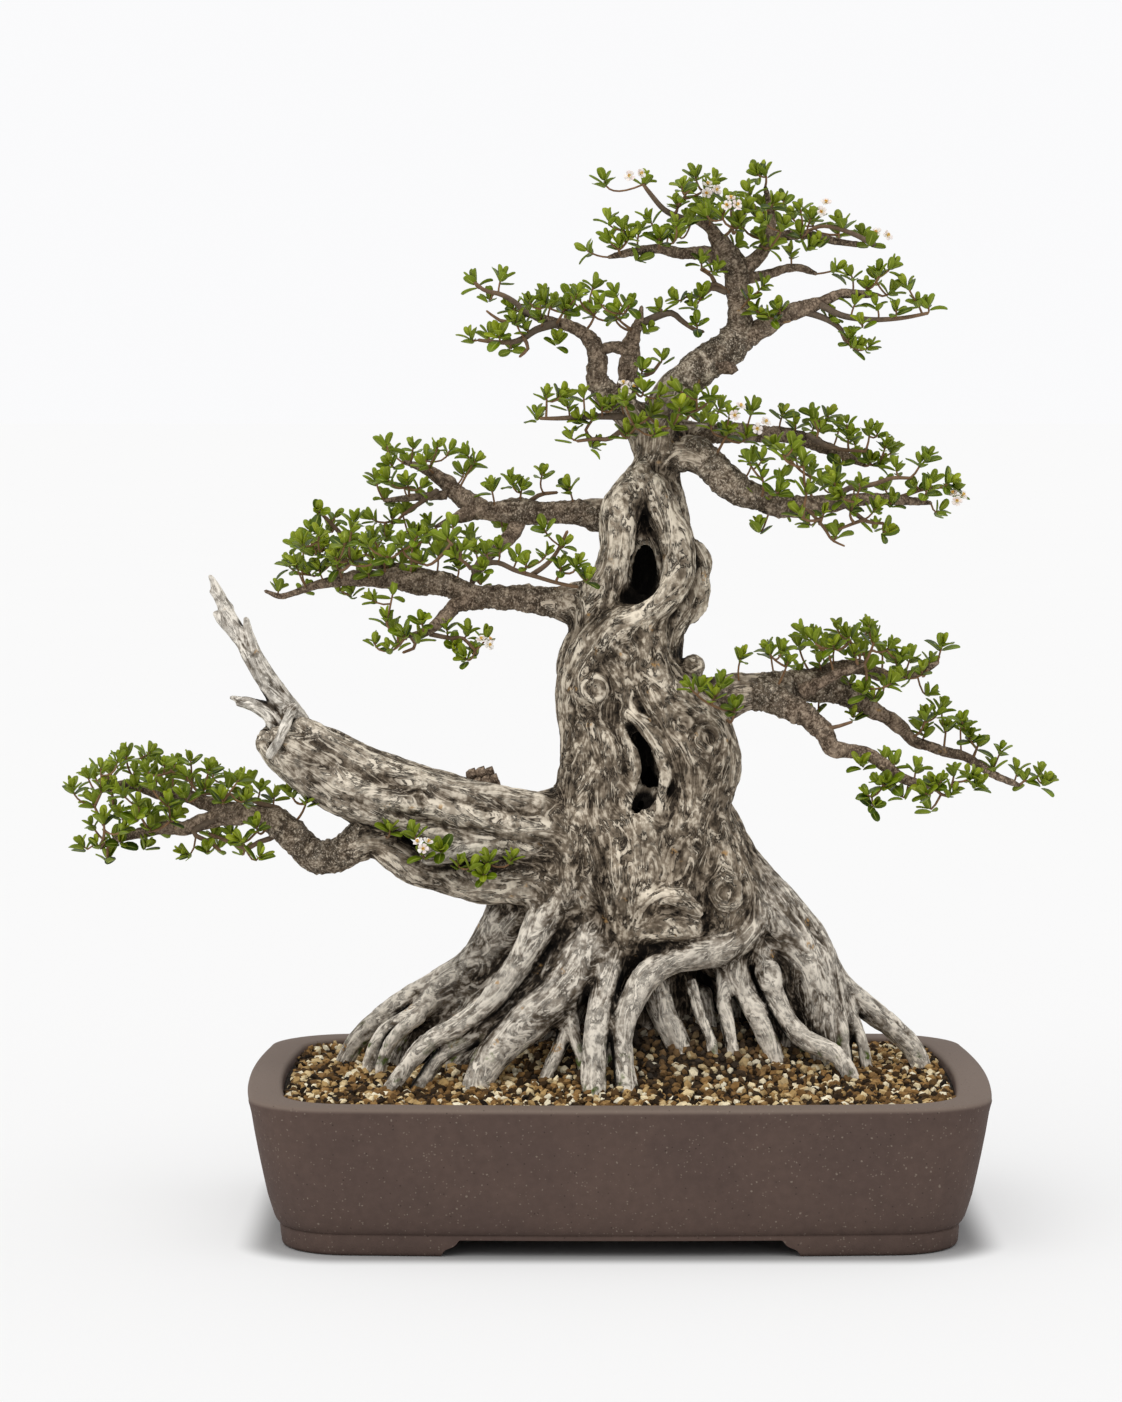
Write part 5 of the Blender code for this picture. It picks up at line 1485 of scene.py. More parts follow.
def around(axis: Array) -> tuple[Array, Array]:
    """Two directions square to each axis and to each other."""
    first = unit(np.cross(axis, [0.28, 0.93, 0.21]))
    return first, np.cross(axis, first)


# The rosettes that show, as (x, z) in mm, region by region.
ROSETTES = {
    "low left": [(-267, 210), (-253, 220), (-245, 224), (-229, 228), (-222, 222), (-209, 224),
        (-200, 220), (-185, 215), (-175, 210), (-160, 208), (-152, 204), (-243, 208), (-235, 203),
        (-220, 203), (-212, 206), (-252, 195), (-262, 182), (-243, 190), (-236, 196), (-218, 196),
        (-250, 176), (-198, 188), (-195, 182), (-190, 188)],
    "left": [(-166, 308), (-152, 308), (-146, 318), (-130, 306), (-122, 316), (-104, 314), (-96, 322),
        (-154, 330), (-146, 334), (-130, 336), (-122, 330), (-106, 330), (-98, 334), (-146, 346),
        (-138, 343), (-120, 342), (-110, 343), (-92, 340), (-120, 303), (-110, 306), (-135, 308),
        (-84, 333), (-80, 324)],
    "hanging": [(-119, 282), (-112, 279), (-105, 286), (-97, 284), (-96, 292), (-84, 289), (-80, 280),
        (-70, 277), (-65, 284)],
    "left front": [(-58, 328), (-45, 320), (-35, 325), (-20, 320), (-15, 313), (-72, 333), (-76, 328),
        (-36, 337), (-66, 318)],
    "upper left": [(-113, 378), (-100, 377), (-88, 377), (-74, 374), (-70, 370), (-112, 361), (-118, 361),
        (-103, 360), (-96, 358), (-104, 346), (-92, 352), (-62, 357), (-52, 360), (-47, 357), (-37, 364),
        (-24, 357), (-94, 368)],
    "twin stems": [(38, 437), (14, 434), (20, 444), (-57, 459), (-72, 430), (-58, 431), (-52, 425),
        (-43, 447), (-36, 447), (-26, 444), (-20, 451), (-2, 452), (-9, 447), (0, 443), (5, 446),
        (-50, 438), (-45, 435), (-38, 440), (-12, 455)],
    "neck left": [(-40, 392), (-35, 402), (-28, 402), (-17, 402), (-25, 397), (-8, 397), (-3, 397),
        (-23, 382), (-12, 378), (-13, 391), (-19, 390)],
    "centre": [(4, 384), (2, 400), (10, 389), (12, 405), (18, 384), (20, 402), (27, 388), (29, 405),
        (36, 384), (38, 402), (45, 388), (53, 384), (54, 393), (12, 415), (21, 420), (65, 395)],
    "right, high": [(80, 393), (86, 388), (94, 393), (102, 392), (98, 386), (111, 388), (112, 382),
        (122, 385), (126, 384), (130, 378), (133, 376), (123, 370), (128, 370)],
    "right, middle": [(135, 367), (147, 370), (150, 372), (145, 358), (150, 356), (161, 360), (163, 356),
        (156, 346), (70, 363), (78, 355), (70, 353), (88, 345), (92, 340), (100, 345), (105, 360),
        (108, 353), (118, 358), (90, 370), (85, 378), (80, 375), (62, 382), (125, 347), (133, 350),
        (125, 338), (130, 336), (106, 335), (92, 356), (63, 371), (70, 371)],
    "right, low": [(60, 275), (73, 278), (80, 278), (90, 287), (95, 283), (107, 288), (112, 285),
        (122, 290), (125, 283), (133, 280), (138, 275), (148, 268), (158, 280), (140, 265), (133, 262),
        (120, 258), (125, 255), (95, 247), (115, 246), (113, 262), (88, 268), (115, 276), (98, 272),
        (122, 270)],
    "before the trunk": [(35, 260), (40, 260), (50, 262), (47, 256), (57, 250)],
    "right, far": [(152, 257), (150, 245), (156, 247), (168, 243), (170, 240), (172, 235), (176, 232),
        (187, 229), (183, 221), (150, 238), (147, 240), (195, 219), (199, 215), (206, 218), (208, 213)],
    "right, lowest": [(119, 222), (130, 226), (135, 223), (122, 207), (125, 202), (133, 213), (128, 213),
        (146, 220), (150, 208), (152, 201), (155, 212), (158, 214), (163, 208), (173, 216), (175, 212)],
    "crown": [(-15, 472), (-5, 478), (0, 475), (-5, 487), (2, 484), (15, 487), (20, 478), (28, 485),
        (28, 478), (33, 500), (28, 495), (43, 503), (46, 506), (42, 490), (50, 490), (52, 496), (63, 500),
        (58, 485), (62, 493), (75, 495), (80, 496), (88, 492), (93, 488), (50, 475), (57, 475), (70, 475),
        (75, 475), (93, 474), (97, 476), (105, 463), (108, 485), (118, 480), (122, 476), (12, 506),
        (71, 510), (67, 509), (5, 478), (80, 484), (88, 480)],
    "crown, right": [(113, 460), (126, 462), (132, 464), (140, 455), (120, 455), (115, 447), (125, 446),
        (145, 447), (150, 446), (103, 440), (118, 437), (112, 430), (115, 426), (122, 426)],
    "crown, left": [(28, 449), (40, 450), (36, 446), (40, 467), (47, 463)],
    "crown, front": [(67, 443), (78, 444), (70, 455), (64, 450), (73, 440)],
    "limb": [(-100, 188), (-87, 180), (-96, 178), (-72, 172), (-64, 175), (-66, 168), (-78, 173)]}

# Twigs that show: the depth, the first and last radius, and the route as (x, z), in mm.
TWIGS = [(2, 1.6, 0.9, [(-165, 194), (-165, 200), (-175, 203), (-188, 207), (-205, 208)]),
    (8, 1.6, 0.9, [(-164, 190), (-170, 186), (-176, 184), (-182, 181), (-190, 184), (-200, 188)]),
    (4, 1.8, 0.8, [(-196, 196), (-208, 189), (-200, 184), (-195, 180)]),
    (6, 1.5, 0.8, [(-132, 320), (-142, 327), (-150, 328)]),
    (10, 1.7, 0.8, [(-126, 321), (-132, 331), (-141, 341), (-146, 346)]),
    (-20, 1.6, 0.9, [(-72, 318), (-60, 321), (-50, 317), (-40, 314), (-30, 311), (-20, 309)]),
    (-18, 1.4, 0.8, [(-42, 315), (-35, 320), (-30, 326), (-25, 336)]),
    (6, 1.2, 0.7, [(-102, 286), (-99, 280), (-105, 277)]),
    (-14, 1.4, 0.8, [(-92, 286), (-82, 284), (-76, 284), (-70, 278)]),
    (20, 1.6, 0.8, [(-88, 356), (-98, 349), (-105, 344)]),
    (16, 1.4, 0.8, [(-44, 350), (-38, 354), (-30, 355)]),
    (6, 2.2, 0.9, [(11, 437), (20, 441), (26, 442), (31, 438), (37, 434), (41, 433)]),
    (3, 2.0, 0.9, [(-38, 440), (-45, 442), (-50, 447), (-57, 451), (-65, 453), (-70, 457)]),
    (1, 2.2, 0.9, [(-30, 437), (-40, 434), (-46, 430), (-52, 428), (-60, 428), (-68, 429)]),
    (-2, 1.2, 0.7, [(-46, 430), (-44, 425), (-48, 421)]),
    (4, 1.2, 0.6, [(-45, 441), (-55, 438), (-60, 440), (-64, 443)]),
    (-8, 2.2, 0.9, [(3, 392), (-8, 392), (-20, 391.5), (-30, 391), (-38, 391)]),
    (-10, 1.6, 0.8, [(5, 388), (0, 384), (-5, 381), (-12, 381), (-20, 380)]),
    (-9, 1.0, 0.7, [(-13, 381), (-16, 385), (-13, 390)]),
    (-12, 1.5, 0.8, [(8, 404), (10, 411), (16, 413), (20, 418)]),
    (20, 1.8, 0.8, [(92, 383), (100, 378), (108, 376), (120, 375)]),
    (-4, 1.7, 0.8, [(106, 352), (112, 357), (124, 359), (133, 362), (142, 362)]),
    (2, 1.5, 0.8, [(130, 351), (138, 353), (146, 356), (152, 357)]),
    (-6, 2.0, 0.8, [(98, 351), (110, 349), (115, 345), (121, 341), (129, 340)]),
    (-8, 1.1, 0.6, [(120, 342), (112, 339), (105, 336)]),
    (-10, 1.3, 0.5, [(90, 348), (93, 346), (100, 338), (104, 332), (110, 329)]),
    (-12, 1.4, 0.8, [(99, 240), (106, 240.5), (114, 243)]),
    (0, 1.7, 0.9, [(42, 454), (47, 456), (54, 452)]),
    (-1, 1.6, 0.8, [(52, 452), (45, 454), (40, 450), (33, 450)]),
    (1, 1.4, 0.8, [(47, 455), (45, 460), (40, 463)]),
    (2, 2.2, 1.0, [(34, 487), (30, 488), (22, 492), (15, 500), (12, 504)]),
    (0, 2.2, 0.9, [(89, 443), (96, 441), (103, 438), (108, 434), (110, 429), (116, 424)]),
    (-3, 2.0, 0.9, [(98, 446), (108, 441), (120, 439), (130, 439), (140, 440), (150, 442)]),
    (4, 1.6, 0.8, [(124, 475), (112, 481), (100, 484), (92, 482)])]


@dataclass
class Shoot:
    """A leafy shoot: where its tip is, in mm, and the cloud it belongs to."""

    tip: Array
    cloud: str


@dataclass
class Canopy:
    """The leafy shoots and their twigs. Sizes are in mm."""

    skeleton: Array
    spacing: float = 9.8
    inset: float = 3.0
    deepening: float = 0.6
    beyond: float = 4000.0
    sunk: tuple[float, float] = (2.5, 9.0)
    tries: int = 34000
    tries_bulk: float = 1.5e6
    least_tries: int = 60
    twig_start: float = 3.5
    twig_step: float = 2.6
    twig_power: float = 0.4
    twig_radii: tuple[float, float] = (0.48, 1.7)
    leaf_count: tuple[int, int] = (6, 9)
    leaf_length: tuple[float, float] = (7.4, 9.9)
    leaf_ratio: tuple[float, float] = (0.50, 0.58)
    seed: int = 11

    def __post_init__(self) -> None:
        """Take the CAD clouds as closed surfaces, in mm."""
        self.draw = np.random.default_rng(self.seed)
        self.clouds = {}
        for name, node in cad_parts.items():
            if name.startswith("foliage"):
                corners = [vertex.co / MM for vertex in node.data.vertices]
                faces = [tuple(face.vertices) for face in node.data.polygons]
                self.clouds[name] = BVHTree.FromPolygons(corners, faces)

    def sight(self, spot: Spot) -> Shoot:
        """Find where a rosette that shows lies: a little behind the first cloud on its sight line.

        Args:
            spot: its (x, z) on the elevation.

        Returns:
            The shoot.
        """
        eye = Vector(VIEWPOINT + POT_MIDDLE)
        middle = Vector(place(np.array([(*spot, 0.0)]))[0])
        ahead = (middle - eye).normalized()
        hits = []
        for name, cloud in self.clouds.items():
            near = cloud.ray_cast(eye, ahead)
            if near[0] is not None:
                far = cloud.ray_cast(eye + ahead * self.beyond, -ahead)
                hits.append((near[3], self.beyond - far[3] - near[3], name))
        if hits:
            distance, thickness, name = min(hits)
            inside = min(self.draw.uniform(*self.sunk), 0.45 * thickness)
            return Shoot(np.array(eye + ahead * (distance + inside)), name)
        nearest = []
        for name, cloud in self.clouds.items():
            low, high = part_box(name)
            depth = (low[1] + high[1]) / 2 / MM
            guess = eye + ahead * ((depth - eye.y) / ahead.y)
            nearest.append((cloud.find_nearest(guess)[3], name, guess))
        _, name, guess = min(nearest, key=lambda entry: entry[0])
        return Shoot(np.array(guess), name)

    def fill(self, name: str, taken: Array) -> Array:
        """Scatter shoots through a cloud: random points in it, each kept if it isn't close to
        the cloud's skin or to a shoot that is already there.

        Args:
            name: the cloud.
            taken: the shoots' tips so far.

        Returns:
            The new tips.
        """
        low, high = (np.array(corner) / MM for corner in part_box(name))
        count = int(self.tries * np.prod(high - low) / self.tries_bulk) + self.least_tries
        kept = [*taken]
        for point in self.draw.uniform(low, high, (count, 3)):
            nearest, normal, _, distance = self.clouds[name].find_nearest(Vector(point))
            if distance < self.inset or (Vector(point) - nearest).dot(normal) > 0:
                continue
            if min(np.linalg.norm(np.array(kept) - point, axis=1), default=99) > self.spacing:
                kept.append(point)
        return np.array(kept[len(taken):]).reshape(-1, 3)

    def shoots(self) -> list[Shoot]:
        """Find every shoot: the ones that show, then the ones that fill the clouds.

        Returns:
            The shoots, each moved away from the middle of its cloud along its sight line.
        """
        found = [self.sight(spot) for spots in ROSETTES.values() for spot in spots]
        for name in self.clouds:
            taken = np.array([shoot.tip for shoot in found])
            found += [Shoot(tip, name) for tip in self.fill(name, taken)]
        for shoot in found:
            low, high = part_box(shoot.cloud)
            eye = VIEWPOINT + POT_MIDDLE
            extra = self.deepening * (shoot.tip[1] - (low[1] + high[1]) / 2 / MM)
            shoot.tip = eye + (shoot.tip - eye) * (1 + extra / (shoot.tip[1] - eye[1]))
        return found

    def connect(self, shoots: list[Shoot]) -> tuple[list[Array], Array]:
        """Grow a twig to each shoot, the nearest to the branches first: it leaves the branch or
        twig that is nearest, counting a start from below as nearer, and bends up into the shoot.
        A twig's first radius grows with a power of how many shoots it carries.

        Args:
            shoots: where they lead.

        Returns:
            A path for each shoot, and each shoot's axis.
        """
        tips = np.array([shoot.tip for shoot in shoots])
        known = self.skeleton
        owner = np.full(len(known), -1)
        reach = [np.min(np.linalg.norm(known[:, :3] - tip, axis=1) - known[:, 3]) for tip in tips]
        axes, curves = np.zeros_like(tips), [None] * len(tips)
        parent, load = np.full(len(tips), -1), np.ones(len(tips))
        order = np.argsort(reach)
        for number in order:
            gap = tips[number] - known[:, :3]
            distance = np.linalg.norm(gap, axis=1) + 1e-6
            cost = distance * (1.3 - 0.3 * gap[:, 2] / distance) - 0.8 * known[:, 3]
            start = np.argmin(np.where(distance > self.twig_start, cost, 1e6))
            parent[number] = owner[start]
            lean = unit(gap[start] * [1, 1, 0.4])
            axes[number] = unit(0.85 * np.array([0, 0, 1]) + 0.55 * lean + self.draw.normal(0, 0.2, 3))
            bend = tips[number] - axes[number] * distance[start] * 0.5 + self.draw.normal(0, 0.6, 3)
            part = np.linspace(0, 1, max(4, int(distance[start] / self.twig_step) + 1))[:, None]
            curve = ((1 - part) ** 2 * known[start, :3] + 2 * part * (1 - part) * bend
                     + part ** 2 * tips[number])
            curves[number] = curve
            known = np.concatenate([known, np.column_stack([curve[1:-1], np.full(len(curve) - 2, 0.6)])])
            owner = np.concatenate([owner, np.full(len(curve) - 2, number)])
        for number in order[::-1]:
            if parent[number] >= 0:
                load[parent[number]] += load[number]
        thin, thick = self.twig_radii
        first = np.minimum(0.5 * load ** self.twig_power, thick)
        paths = [np.column_stack([curve, np.linspace(radius, thin, len(curve))])
                 for curve, radius in zip(curves, first)]
        return paths, axes

    def leaves(self, tips: Array, axes: Array) -> Shape:
        """The leaves of many shoots: each is a spiral of leaves, a golden turn apart, that stand
        nearly upright at its tip and spread further the lower they sit.

        Args:
            tips: the shoots' tips.
            axes: the directions they point in.

        Returns:
            The leaves.
        """
        counts = self.draw.integers(*self.leaf_count, len(tips))
        shoot = np.repeat(np.arange(len(tips)), counts)
        number = np.concatenate([np.arange(count) for count in counts])
        part = number / (counts[shoot] - 1)
        total = len(shoot)
        first, second = (sides[shoot] for sides in around(axes))
        axis = axes[shoot]
        turn = self.draw.uniform(0, 6.28, len(tips))[shoot] + number * GOLDEN_TURN
        spread = np.radians(9 + 56 * part ** 0.8 + self.draw.normal(0, 8, total))[:, None]
        out = np.cos(turn)[:, None] * first + np.sin(turn)[:, None] * second
        ahead = unit(np.cos(spread) * axis + np.sin(spread) * out + self.draw.normal(0, 0.09, (total, 3)))
        face = np.sin(spread) * axis - np.cos(spread) * out
        face = unit(face - ahead * np.sum(face * ahead, axis=1, keepdims=True))
        vigour = self.draw.uniform(0.85, 1.1, len(tips))[shoot]
        length = vigour * self.draw.uniform(*self.leaf_length, total) * (0.62 + 0.38 * part ** 0.6)
        width = length * self.draw.uniform(*self.leaf_ratio, total)
        base = tips[shoot] + axis * (1.2 - 4.2 * part[:, None]) + out * 0.3
        youth = np.clip(1 - part * 1.3 + self.draw.normal(0, 0.15, total), 0, 1)
        youth *= self.draw.uniform(0.3, 1.0, len(tips))[shoot]
        marks = {"tint": self.draw.uniform(0, 1, total), "youth": youth}
        return Blade().shape(base, ahead, face, length, width, self.draw.uniform(-0.25, 0.75, total), marks)

    def twigs(self, paths: list[Array]) -> Shape:
        """Make twigs as thin tubes.

        Args:
            paths: rows of (x, y, z, radius) for each.

        Returns:
            The tubes, with the age of their bark as a mark.
        """
        tubes = []
        for path in paths:
            tube = carry_profile(path, 6 if path[0, 3] > 0.8 else 5)
            age = np.clip((path[:, 3] - 0.5) / 1.1, 0, 1)
            sides = (len(tube.points) - 2) // len(path)
            tube.marks = {"age": np.concatenate([np.repeat(age, sides), age[:1], age[-1:]])}
            tubes.append(tube)
        return join(tubes)

    def build(self) -> None:
        """Make each cloud's leaves and twigs."""
        leaf, bark = LeafFinish().material(), TwigFinish().material()
        main = []
        for depth, thick, thin, route in TWIGS:
            radii = np.linspace(thick, thin, len(route))
            stations = [(x, z, depth, radius) for (x, z), radius in zip(route, radii)]
            main.append(smooth_path(stations, self.twig_step))
        make_piece("long_twigs", self.twigs(main), bark)
        self.skeleton = np.concatenate([self.skeleton, *main])
        shoots = self.shoots()
        paths, axes = self.connect(shoots)
        tips = np.array([shoot.tip for shoot in shoots])
        for name in self.clouds:
            mine = [number for number, shoot in enumerate(shoots) if shoot.cloud == name]
            label = name.removeprefix("foliage_")
            make_piece(f"leaves_{label}", self.leaves(tips[mine], axes[mine]), leaf, (name,))
            make_piece(f"twigs_{label}", self.twigs([paths[number] for number in mine]), bark)


@dataclass(frozen=True)
class LeafFinish:
    """Glossy green leaves with a paler midrib, a paler underside and yellower young leaves."""

    name: str = "glossy_leaf"
    deep: Colour = paint(48, 68, 4)
    fresh: Colour = paint(110, 131, 12)
    young: Colour = paint(172, 182, 46)
    under: Colour = paint(134, 150, 42)
    midrib: Colour = paint(182, 192, 92)

    def material(self) -> Material:
        """Colour by each leaf's lot, its age, its side and the place across it.

        Returns:
            The material.
        """
        work = Dressing(self.name, Specular_IOR_Level=0.22)
        uv = work.node("ShaderNodeUVMap", uv_map="uv").outputs["UV"]
        split = work.node("ShaderNodeSeparateXYZ", {"Vector": uv}).outputs
        across, under = work.math("ABSOLUTE", work.minus(split["X"], 0.5)), work.mark("under")
        colour = work.mix(work.mark("tint"), self.deep, self.fresh)
        colour = work.mix(work.times(work.mark("youth"), 0.8), colour, self.young)
        colour = work.mix(work.times(under, 0.55), colour, self.under)
        rib = work.times(work.span(across, 0.02, 0.085, 1.0, 0.0), work.span(split["Y"], 0.55, 1.0, 0.6, 0.0))
        colour = work.mottle(work.mix(rib, colour, self.midrib), 260.0, 0.35)
        veins = work.plus(rib, work.noise(work.place, 900.0, 1.0))
        return work.finish(colour, (under, 0.3, 0.7, 0.34, 0.6), veins, 0.4, 0.0002)


@dataclass(frozen=True)
class TwigFinish:
    """Thin bark: orange-brown on this year's twigs, grey-brown on older ones."""

    name: str = "twig_bark"
    fresh: Colour = paint(128, 96, 66)
    old: Colour = paint(100, 86, 72)

    def material(self) -> Material:
        """Colour by the bark's age, with patches and small cracks.

        Returns:
            The material.
        """
        work = Dressing(self.name, Specular_IOR_Level=0.3)
        cracks = work.noise(work.place, 700.0, 3.0)
        colour = work.mottle(work.mix(work.mark("age"), self.fresh, self.old), 420.0, 0.6)
        return work.finish(colour, (cracks, 0.2, 0.8, 0.9, 0.7), cracks, 0.7, 0.0004)


@dataclass
class Flowers:
    """Small white flowers in pairs and threes, with yellow middles, at the CAD flowers' places."""

    petal_length: float = 2.7
    petal_ratio: float = 0.85
    petals: int = 5
    stamens: int = 6
    apart: float = 2.5
    stand: float = 1.5
    seed: int = 23

    def build(self) -> None:
        """Make each truss: two or three flowers that lean apart."""
        draw = np.random.default_rng(self.seed)
        white, gold = PetalFinish().material(), StamenFinish().material()
        for name in sorted(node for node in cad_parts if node.startswith("flower")):
            low, high = (np.array(corner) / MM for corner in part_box(name))
            middle, count = (low + high) / 2, int(draw.integers(2, 4))
            towards = unit(np.array([0.1, -0.75, 0.6]) + draw.normal(0, 0.15, 3))
            first, second = around(towards)
            turn = draw.uniform(0, 6.28) + np.arange(count) * FULL_TURN / count
            out = np.cos(turn)[:, None] * first + np.sin(turn)[:, None] * second
            axes = unit(towards + 0.55 * out)
            hearts = middle + self.apart * out + towards * self.stand
            whorl = np.repeat(np.arange(count), self.petals)
            one, two = (sides[whorl] for sides in around(axes))
            angle = np.tile(np.arange(self.petals) * FULL_TURN / self.petals, count)
            angle = (angle + draw.normal(0, 0.08, len(angle)))[:, None]
            spoke = np.cos(angle) * one + np.sin(angle) * two
            rise = np.radians(draw.uniform(12, 30, len(angle)))[:, None]
            ahead = np.cos(rise) * spoke + np.sin(rise) * axes[whorl]
            face = np.cos(rise) * axes[whorl] - np.sin(rise) * spoke
            length = draw.uniform(0.85, 1.1, len(angle)) * self.petal_length
            blade = Blade(thickness=0.16, start_power=0.7, end_power=5.0, fold=0.18)
            curl, tint = draw.uniform(-0.5, 0.2, len(angle)), draw.uniform(0, 1, len(angle))
            petals = blade.shape(hearts[whorl] + spoke * 0.3, ahead, face, length,
                                 length * self.petal_ratio, curl, {"tint": tint})
            make_piece(f"petals_{name[-2:]}", petals, white, (name,))
            middles = []
            for heart, axis, one_side, other in zip(hearts, axes, *around(axes)):
                for lean in np.arange(self.stamens) * 1.047:
                    tilt = unit(axis + 0.35 * (math.cos(lean) * one_side + math.sin(lean) * other))
                    reach = np.array([0, 0.8, 1.3, 1.7, 2.0])[:, None]
                    radii = [0.14, 0.12, 0.2, 0.34, 0.2]
                    middles.append(carry_profile(np.column_stack([heart + tilt * reach, radii]), 5))
            gold_shape = join(middles)
            gold_shape.marks = {}
            make_piece(f"stamens_{name[-2:]}", gold_shape, gold)


@dataclass(frozen=True)
class PetalFinish:
    """Thin white petals, greenish at the claw."""

    name: str = "white_petal"
    white: Colour = paint(246, 243, 238)
    blush: Colour = paint(238, 224, 220)
    claw: Colour = paint(206, 214, 150)

    def material(self) -> Material:
        """Colour along the petal, with faint patches.

        Returns:
            The material.
        """
        work = Dressing(self.name, Specular_IOR_Level=0.3)
        uv = work.node("ShaderNodeUVMap", uv_map="uv").outputs["UV"]
        along = work.node("ShaderNodeSeparateXYZ", {"Vector": uv}).outputs["Y"]
        colour = work.mix(work.mark("tint"), self.white, self.blush)
        colour = work.mottle(work.mix(work.span(along, 0.05, 0.35, 0.8, 0.0), colour, self.claw), 500.0, 0.08)
        folds = work.noise(work.place, 800.0)
        return work.finish(colour, (folds, 0.2, 0.8, 0.7, 0.55), folds, 0.3, 0.0002)


@dataclass(frozen=True)
class StamenFinish:
    """Yellow stamens with orange heads."""

    name: str = "yellow_stamen"
    stalk: Colour = paint(226, 206, 110)
    head: Colour = paint(214, 140, 46)

    def material(self) -> Material:
        """Colour in fine patches.

        Returns:
            The material.
        """
        work = Dressing(self.name, Roughness=0.7)
        grains = work.noise(work.place, 1500.0)
        return work.finish(work.ramp(grains, ((0.4, self.stalk), (0.6, self.head))), (), grains, 0.5, 0.0002)


# ---------------------------------------------------------------- the pot and its soil


@dataclass
class ClayPot:
    """An unglazed pot: a rounded rectangle in plan, with bowed sides, a flat rim and four feet.
    Sizes are in mm; a wall point is (inset from the rim's outline, height)."""

    corner_radius: float = 42.0
    corner_taper: float = 0.55
    side_bow: float = 4.0
    outer_wall: tuple[Spot, ...] = (
        (27.4, 9.0), (26.0, 0.7), (25.6, 0.1), (25.0, 0.0), (17.4, 0.0), (16.4, 0.3), (15.6, 1.0),
        (15.2, 2.0), (14.9, 5.0), (14.6, 9.0), (14.75, 9.7), (15.2, 10.2), (14.6, 10.6), (13.8, 11.3),
        (12.9, 12.5), (12.0, 14.2), (10.4, 19.2), (8.7, 25.0), (6.6, 35.0), (4.5, 45.6), (2.7, 55.6),
        (1.3, 64.6), (0.6, 67.6), (0.15, 69.2), (0.0, 70.2), (0.25, 71.1), (0.9, 71.75), (1.9, 72.0))
    inner_wall: tuple[Spot, ...] = (
        (8.0, 72.1), (14.4, 72.0), (15.3, 71.75), (16.0, 71.1), (16.5, 70.0), (18.6, 60.0),
        (21.6, 42.0), (24.6, 24.0), (26.8, 19.4), (31.0, 16.6), (42.0, 16.0))
    foot_curl: tuple[Spot, ...] = (
        (0.0, -2.0), (0.0, 0.4), (0.4, 1.7), (1.6, 3.1), (3.2, 3.9), (5.0, 4.6), (6.4, 5.5),
        (7.3, 6.5), (7.9, 7.4), (8.6, 8.0))
    corner_steps: int = 12
    side_steps: int = 16
    foot_cut_halves: tuple[float, float] = (84.0, 48.0)
    drain_hole: tuple[float, float] = (85.0, 12.5)
    wire_hole: tuple[float, float, float] = (35.0, 45.0, 2.5)

    def outline(self, inset: float) -> Array:
        """The plan, drawn in by an inset: four quarter circles joined by shallow parabolas.

        Args:
            inset: how far it lies inside the rim's outline.

        Returns:
            Rows of (x, y), anticlockwise, round the pot's middle.
        """
        half = (POT_HIGH[:2] - POT_LOW[:2]) / 2 - inset
        radius = self.corner_radius - self.corner_taper * inset
        middles = (half - self.side_bow - radius) * np.array([(1, 1), (-1, 1), (-1, -1), (1, -1)])
        rows = []
        for quarter in range(4):
            angle = math.pi / 2 * (quarter + np.linspace(0, 1, self.corner_steps + 1))[:, None]
            arc = middles[quarter] + radius * np.concatenate([np.cos(angle), np.sin(angle)], axis=1)
            turn = math.pi / 2 * (quarter + 1)
            out = np.array([math.cos(turn), math.sin(turn)])
            end = middles[(quarter + 1) % 4] + radius * out
            part = np.linspace(0, 1, self.side_steps, endpoint=False)[1:, None]
            bow = self.side_bow * (1 - (2 * part - 1) ** 2)
            rows += [arc, arc[-1] + (end - arc[-1]) * part + bow * out]
        return np.concatenate(rows)

    def rings(self, profile: list[Spot]) -> Array:
        """The outline at each point of a profile.

        Args:
            profile: pairs of (inset, height).

        Returns:
            A ring of (x, y, z) for each pair, round the pot's middle.
        """
        plans = np.array([self.outline(inset) for inset, _ in profile])
        heights = np.broadcast_to(np.array(profile)[:, None, 1:], (*plans.shape[:2], 1))
        return np.concatenate([plans, heights], axis=2)

    def shell(self, rings: Array, ends: list[Array]) -> Shape:
        """A skin over rings, filled in at both ends.

        Args:
            rings: rings of (x, y, z), round the pot's middle.
            ends: the middle of each end.

        Returns:
            The closed skin.
        """
        points = np.concatenate([rings.reshape(-1, 3), ends]) + POT_MIDDLE
        return Shape(points, *tube_faces(*rings.shape[:2]))

    def bar(self, across: Array, low: float, high: float, turn: bool) -> Shape:
        """A cutter: a section pulled along.

        Args:
            across: the section, as rows of (across, height).
            low: where it starts.
            high: where it ends.
            turn: whether it lies along the pot's length and not its depth.

        Returns:
            The closed bar.
        """
        count = len(across)
        ends = [np.column_stack([across[:, 0], np.full(count, end), across[:, 1]]) for end in (low, high)]
        points = np.concatenate(ends)
        if turn:
            points = points[:, [1, 0, 2]] * [1, -1, 1]
        index = np.arange(count)
        after = np.roll(index, -1)
        quads = np.stack([index, after, after + count, index + count], axis=1)
        fans = [np.stack([np.zeros(count - 2, int), index[2:], index[1:-1]], axis=1),
                np.stack([np.zeros(count - 2, int), index[1:-1], index[2:]], axis=1) + count]
        return Shape(points + POT_MIDDLE, quads, np.concatenate(fans))

